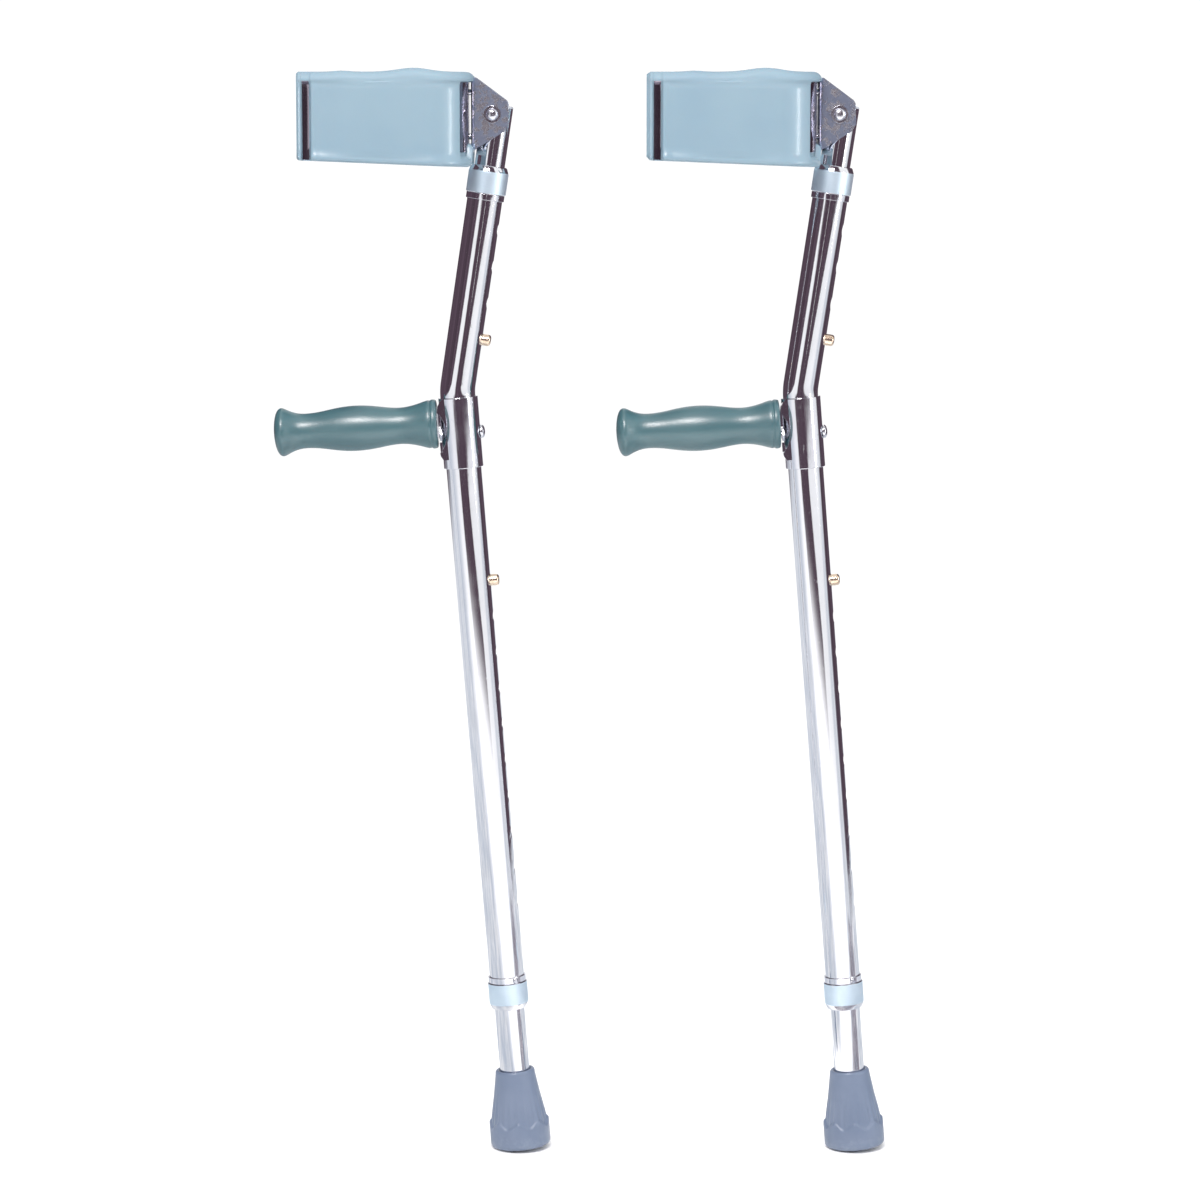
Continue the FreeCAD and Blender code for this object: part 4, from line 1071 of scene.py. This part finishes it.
# %% The bent sheet
EAR = [(-13.5, 24.8), (-11.0, 24.8), (9.6, 9.6), (10.8, 7.4), (11.2, -6.4), (8.6, -11.4),
       (-11.0, -23.3), (-13.5, -24.5)]
HALF = 12.0
FRONT = -13.4
bracket = bmesh.new()
outline(bracket, EAR, closed=True)
filled(bracket)
slide(bracket, bracket.verts, y=-HALF)
front_edge = [e for e in bracket.edges if all(v.co.x < FRONT for v in e.verts)]
slide(bracket, bmesh.ops.extrude_edge_only(bracket, edges=front_edge)["geom"], y=2 * HALF)
ear_face = [f for f in bracket.faces if len(f.verts) > 4]
twin = bmesh.ops.duplicate(bracket, geom=ear_face + list(ear_face[0].edges)
                           + list(ear_face[0].verts))["geom"]
slide(bracket, twin, y=2 * HALF)
bmesh.ops.remove_doubles(bracket, verts=bracket.verts[:], dist=0.01)
bends = [e for e in bracket.edges if e.is_manifold and all(v.co.x < FRONT for v in e.verts)
         and abs(e.verts[0].co.z - e.verts[1].co.z) > 20]
roll(bracket, bends, 2.2, 5)
face_out(bracket)
set_down("pivot_bracket_sheet", bracket, CUFF, [zinc_plate], "cuff", "cuff_bracket",
         sharp=50, extras=sheet_wall(2.0, 0.3, 0.0))

# %% [markdown]
# ## Parts kept from the CAD model
# The core of the grip, the bushes of the collars and the washer in the tip already have the
# right shape. They keep their CAD mesh and only get a finish.

# %% Finishes on the kept CAD parts
KEPT = {"handle_core": plain_steel, "lower_collar_bush": nylon, "upper_collar_bush": nylon,
        "tip_washer": zinc_plate}
for side in SIDES:
    for name, finish in KEPT.items():
        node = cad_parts[f"{side}_{name}"]
        node.data.materials.clear()
        node.data.materials.append(finish)
print(len(KEPT) * 2, "CAD parts kept and finished,", len(made), "pieces modelled")

# %% [markdown]
# ## Floor, light and camera
# The crutches stand on a plain pale floor in a white room. Mirror metal shows whatever stands
# around it, so dark boards stand round the crutches: their reflections draw the dark bands that
# make a tube look round. Pale boards and two stripes on the floor put softer bands between them.
# All are curved grids that only reflections see, clear where a vertex attribute fades out. A soft
# lamp above the camera gives the long highlights on the grip.

# %% Floor
low, high = cad_box
centre = (low + high) / 2
disc = bmesh.new()
bmesh.ops.create_circle(disc, radius=14.0, segments=64, cap_ends=True)
slide(disc, disc.verts, x=centre.x, z=low.z - 0.0004)
mesh = bpy.data.meshes.new("floor")
disc.to_mesh(mesh)
disc.free()
floor = stand_up("floor", mesh)
pale = Finish("pale floor")
shade = pale.noise(3.0, 3.0, 0.5)
mesh.materials.append(pale.set(
    Base_Color=pale.blend(shade, (0.975, 0.975, 0.98, 1), (0.95, 0.95, 0.955, 1)), Roughness=0.9))
floor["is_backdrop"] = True


# %% Boards for the reflections
BOARD_AWAY = 1.6
BOARD_GAP = 0.02
BETWEEN = 0.0885


def board(name, edges, soft, fade, tint, middle=BETWEEN, away=BOARD_AWAY):
    """A curved board round the crutches, from (height, azimuth, azimuth) rows.

    A height below zero lies on the floor and runs in towards the crutches. The board fades
    in over an angle at each side, and between two heights at its foot.
    """
    bm = bmesh.new()
    bmesh.ops.create_grid(bm, x_segments=60, y_segments=80, size=0.5)
    mesh = bpy.data.meshes.new(name)
    dark = bm.verts.layers.float.new("dark")
    lowest, highest = edges[0][0], edges[-1][0]
    for vert in bm.verts:
        across, up = vert.co.x + 0.5, (vert.co.y + 0.5) ** 2
        z = lowest + (highest - lowest) * up
        below = max(row for row in edges if row[0] <= z + 1e-6)
        above = min((row for row in edges if row[0] > z + 1e-6), default=below)
        part = (z - below[0]) / (above[0] - below[0]) if above is not below else 0.0
        first = below[1] + (above[1] - below[1]) * part
        last = below[2] + (above[2] - below[2]) * part
        degrees = first + (last - first) * across
        vert[dark] = (smooth((degrees - first) / soft[0]) * smooth((last - degrees) / soft[1])
                      * smooth((z - fade[0]) / (fade[1] - fade[0])))
        a = math.radians(degrees)
        reach = away * min(1.0, 1.0 + z)
        vert.co = Vector((middle + reach * math.sin(a), -reach * math.cos(a), max(z, 0.003)))
    bm.to_mesh(mesh)
    bm.free()
    panel = stand_up(name, mesh)
    paint = Finish(name)
    amount = paint.node("ShaderNodeAttribute", {"attribute_name": "dark"}).outputs["Fac"]
    streaks = paint.noise(7.0, 3.0, 0.6, paint.stretched(0.12))
    shade = paint.blend(streaks.between(0.35, 0.7), tint, scaled(tint, 1.8))
    glow = paint.node("ShaderNodeEmission", None, {"Color": shade})
    clear = paint.node("ShaderNodeBsdfTransparent")
    mix = paint.node("ShaderNodeMixShader", None,
                     {0: amount, 1: clear.outputs[0], 2: glow.outputs[0]})
    paint.feed(paint.tree.nodes["Material Output"].inputs["Surface"], mix.outputs[0])
    mesh.materials.append(paint.material)
    for kind in ("camera", "diffuse", "shadow", "transmission", "volume_scatter"):
        setattr(panel, f"visible_{kind}", False)
    panel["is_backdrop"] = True


PLUM = colour(76, 62, 72)
PEARL = colour(200, 208, 220)
board("dark board left", [(0.1, -170, -112), (0.28, -170, -103), (0.45, -170, -58),
                          (0.6, -170, -41), (0.84, -170, -33), (5.0, -170, -33)],
      (4, 3), (0.14, 0.30), PLUM)
board("dark board middle", [(0.0, -22, 30), (0.2, -36, 34), (0.34, -38, 16), (0.42, -22, 30),
                            (0.5, -20, 56), (0.66, -20, 56), (0.72, -28, 44),
                            (5.0, -28, 44)], (5, 3), (0.02, 0.22), PLUM)
board("dark board right", [(-0.3, 76, 108), (0.0, 84, 140), (0.3, 84, 160), (0.5, 92, 172),
                           (5.0, 92, 172)], (10, 6), (-0.3, -0.1), PLUM)
board("pearl board left", [(-0.97, -178, 6), (0.3, -178, -44), (0.5, -178, -60)],
      (10, 40), (-0.97, -0.93), PEARL, BETWEEN, BOARD_AWAY + BOARD_GAP)
board("pearl board right", [(-0.97, 34, 178), (0.3, 60, 178), (0.5, 80, 178)],
      (14, 10), (-0.97, -0.93), PEARL, BETWEEN, BOARD_AWAY + BOARD_GAP)
for side, gap in SIDES.items():
    board(f"floor stripe {side}", [(-0.93, 57, 86), (-0.7, 55, 88), (-0.3, 60, 98)],
          (4, 8), (-0.93, -0.91), colour(112, 101, 113), gap * MM, BOARD_AWAY - BOARD_GAP)


# %% Lamps and room
def lamp(name, place, target, width, height, power, tint=(1, 1, 1)):
    """A rectangular lamp at one place, turned towards another."""
    light = bpy.data.lights.new(name, "AREA")
    light.shape = "RECTANGLE"
    light.size = width
    light.size_y = height
    light.energy = power
    light.color = tint
    item = stand_up(name, light)
    item.location = place
    item.rotation_euler = (Vector(target) - Vector(place)).to_track_quat("-Z", "Y").to_euler()


def around(azimuth, away, height):
    a = math.radians(azimuth)
    return Vector((centre.x + away * math.sin(a), -away * math.cos(a), height))


lamp("soft lamp above", (centre.x - 0.22, -1.35, 1.95), centre, 0.8, 0.36, 34.0,
     (1.0, 0.95, 0.94))
lamp("strip lamp right", around(64, 1.5, 0.8), (centre.x, 0, 0.7), 0.14, 0.7, 4.5)
lamp("strip lamp front", around(7, 1.5, 0.72), (centre.x, 0, 0.7), 0.035, 0.5, 0.05)

world = bpy.data.worlds.new("white room")
world.use_nodes = True
sky = world.node_tree.nodes["Background"]
sky.inputs["Color"].default_value = (1.0, 1.0, 1.0, 1.0)
sky.inputs["Strength"].default_value = 1.06
bpy.context.scene.world = world
bpy.context.scene.view_settings.view_transform = "Standard"

# %% Camera
TILT = 7.57
camera = bpy.data.cameras.new("camera")
camera.sensor_width = 36.0
camera.lens = 112.9
camera.clip_end = 60.0
eye = stand_up("camera", camera)
eye.location = (0.056, -2.6, 0.735)
eye.rotation_euler = (math.radians(90 - TILT), 0, 0)
bpy.context.scene.camera = eye

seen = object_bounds()
past = [round((seen[1][i] - cad_box[1][i]) / MM, 1) for i in range(3)]
print("the modelled pieces reach past the CAD box by", past, "mm")
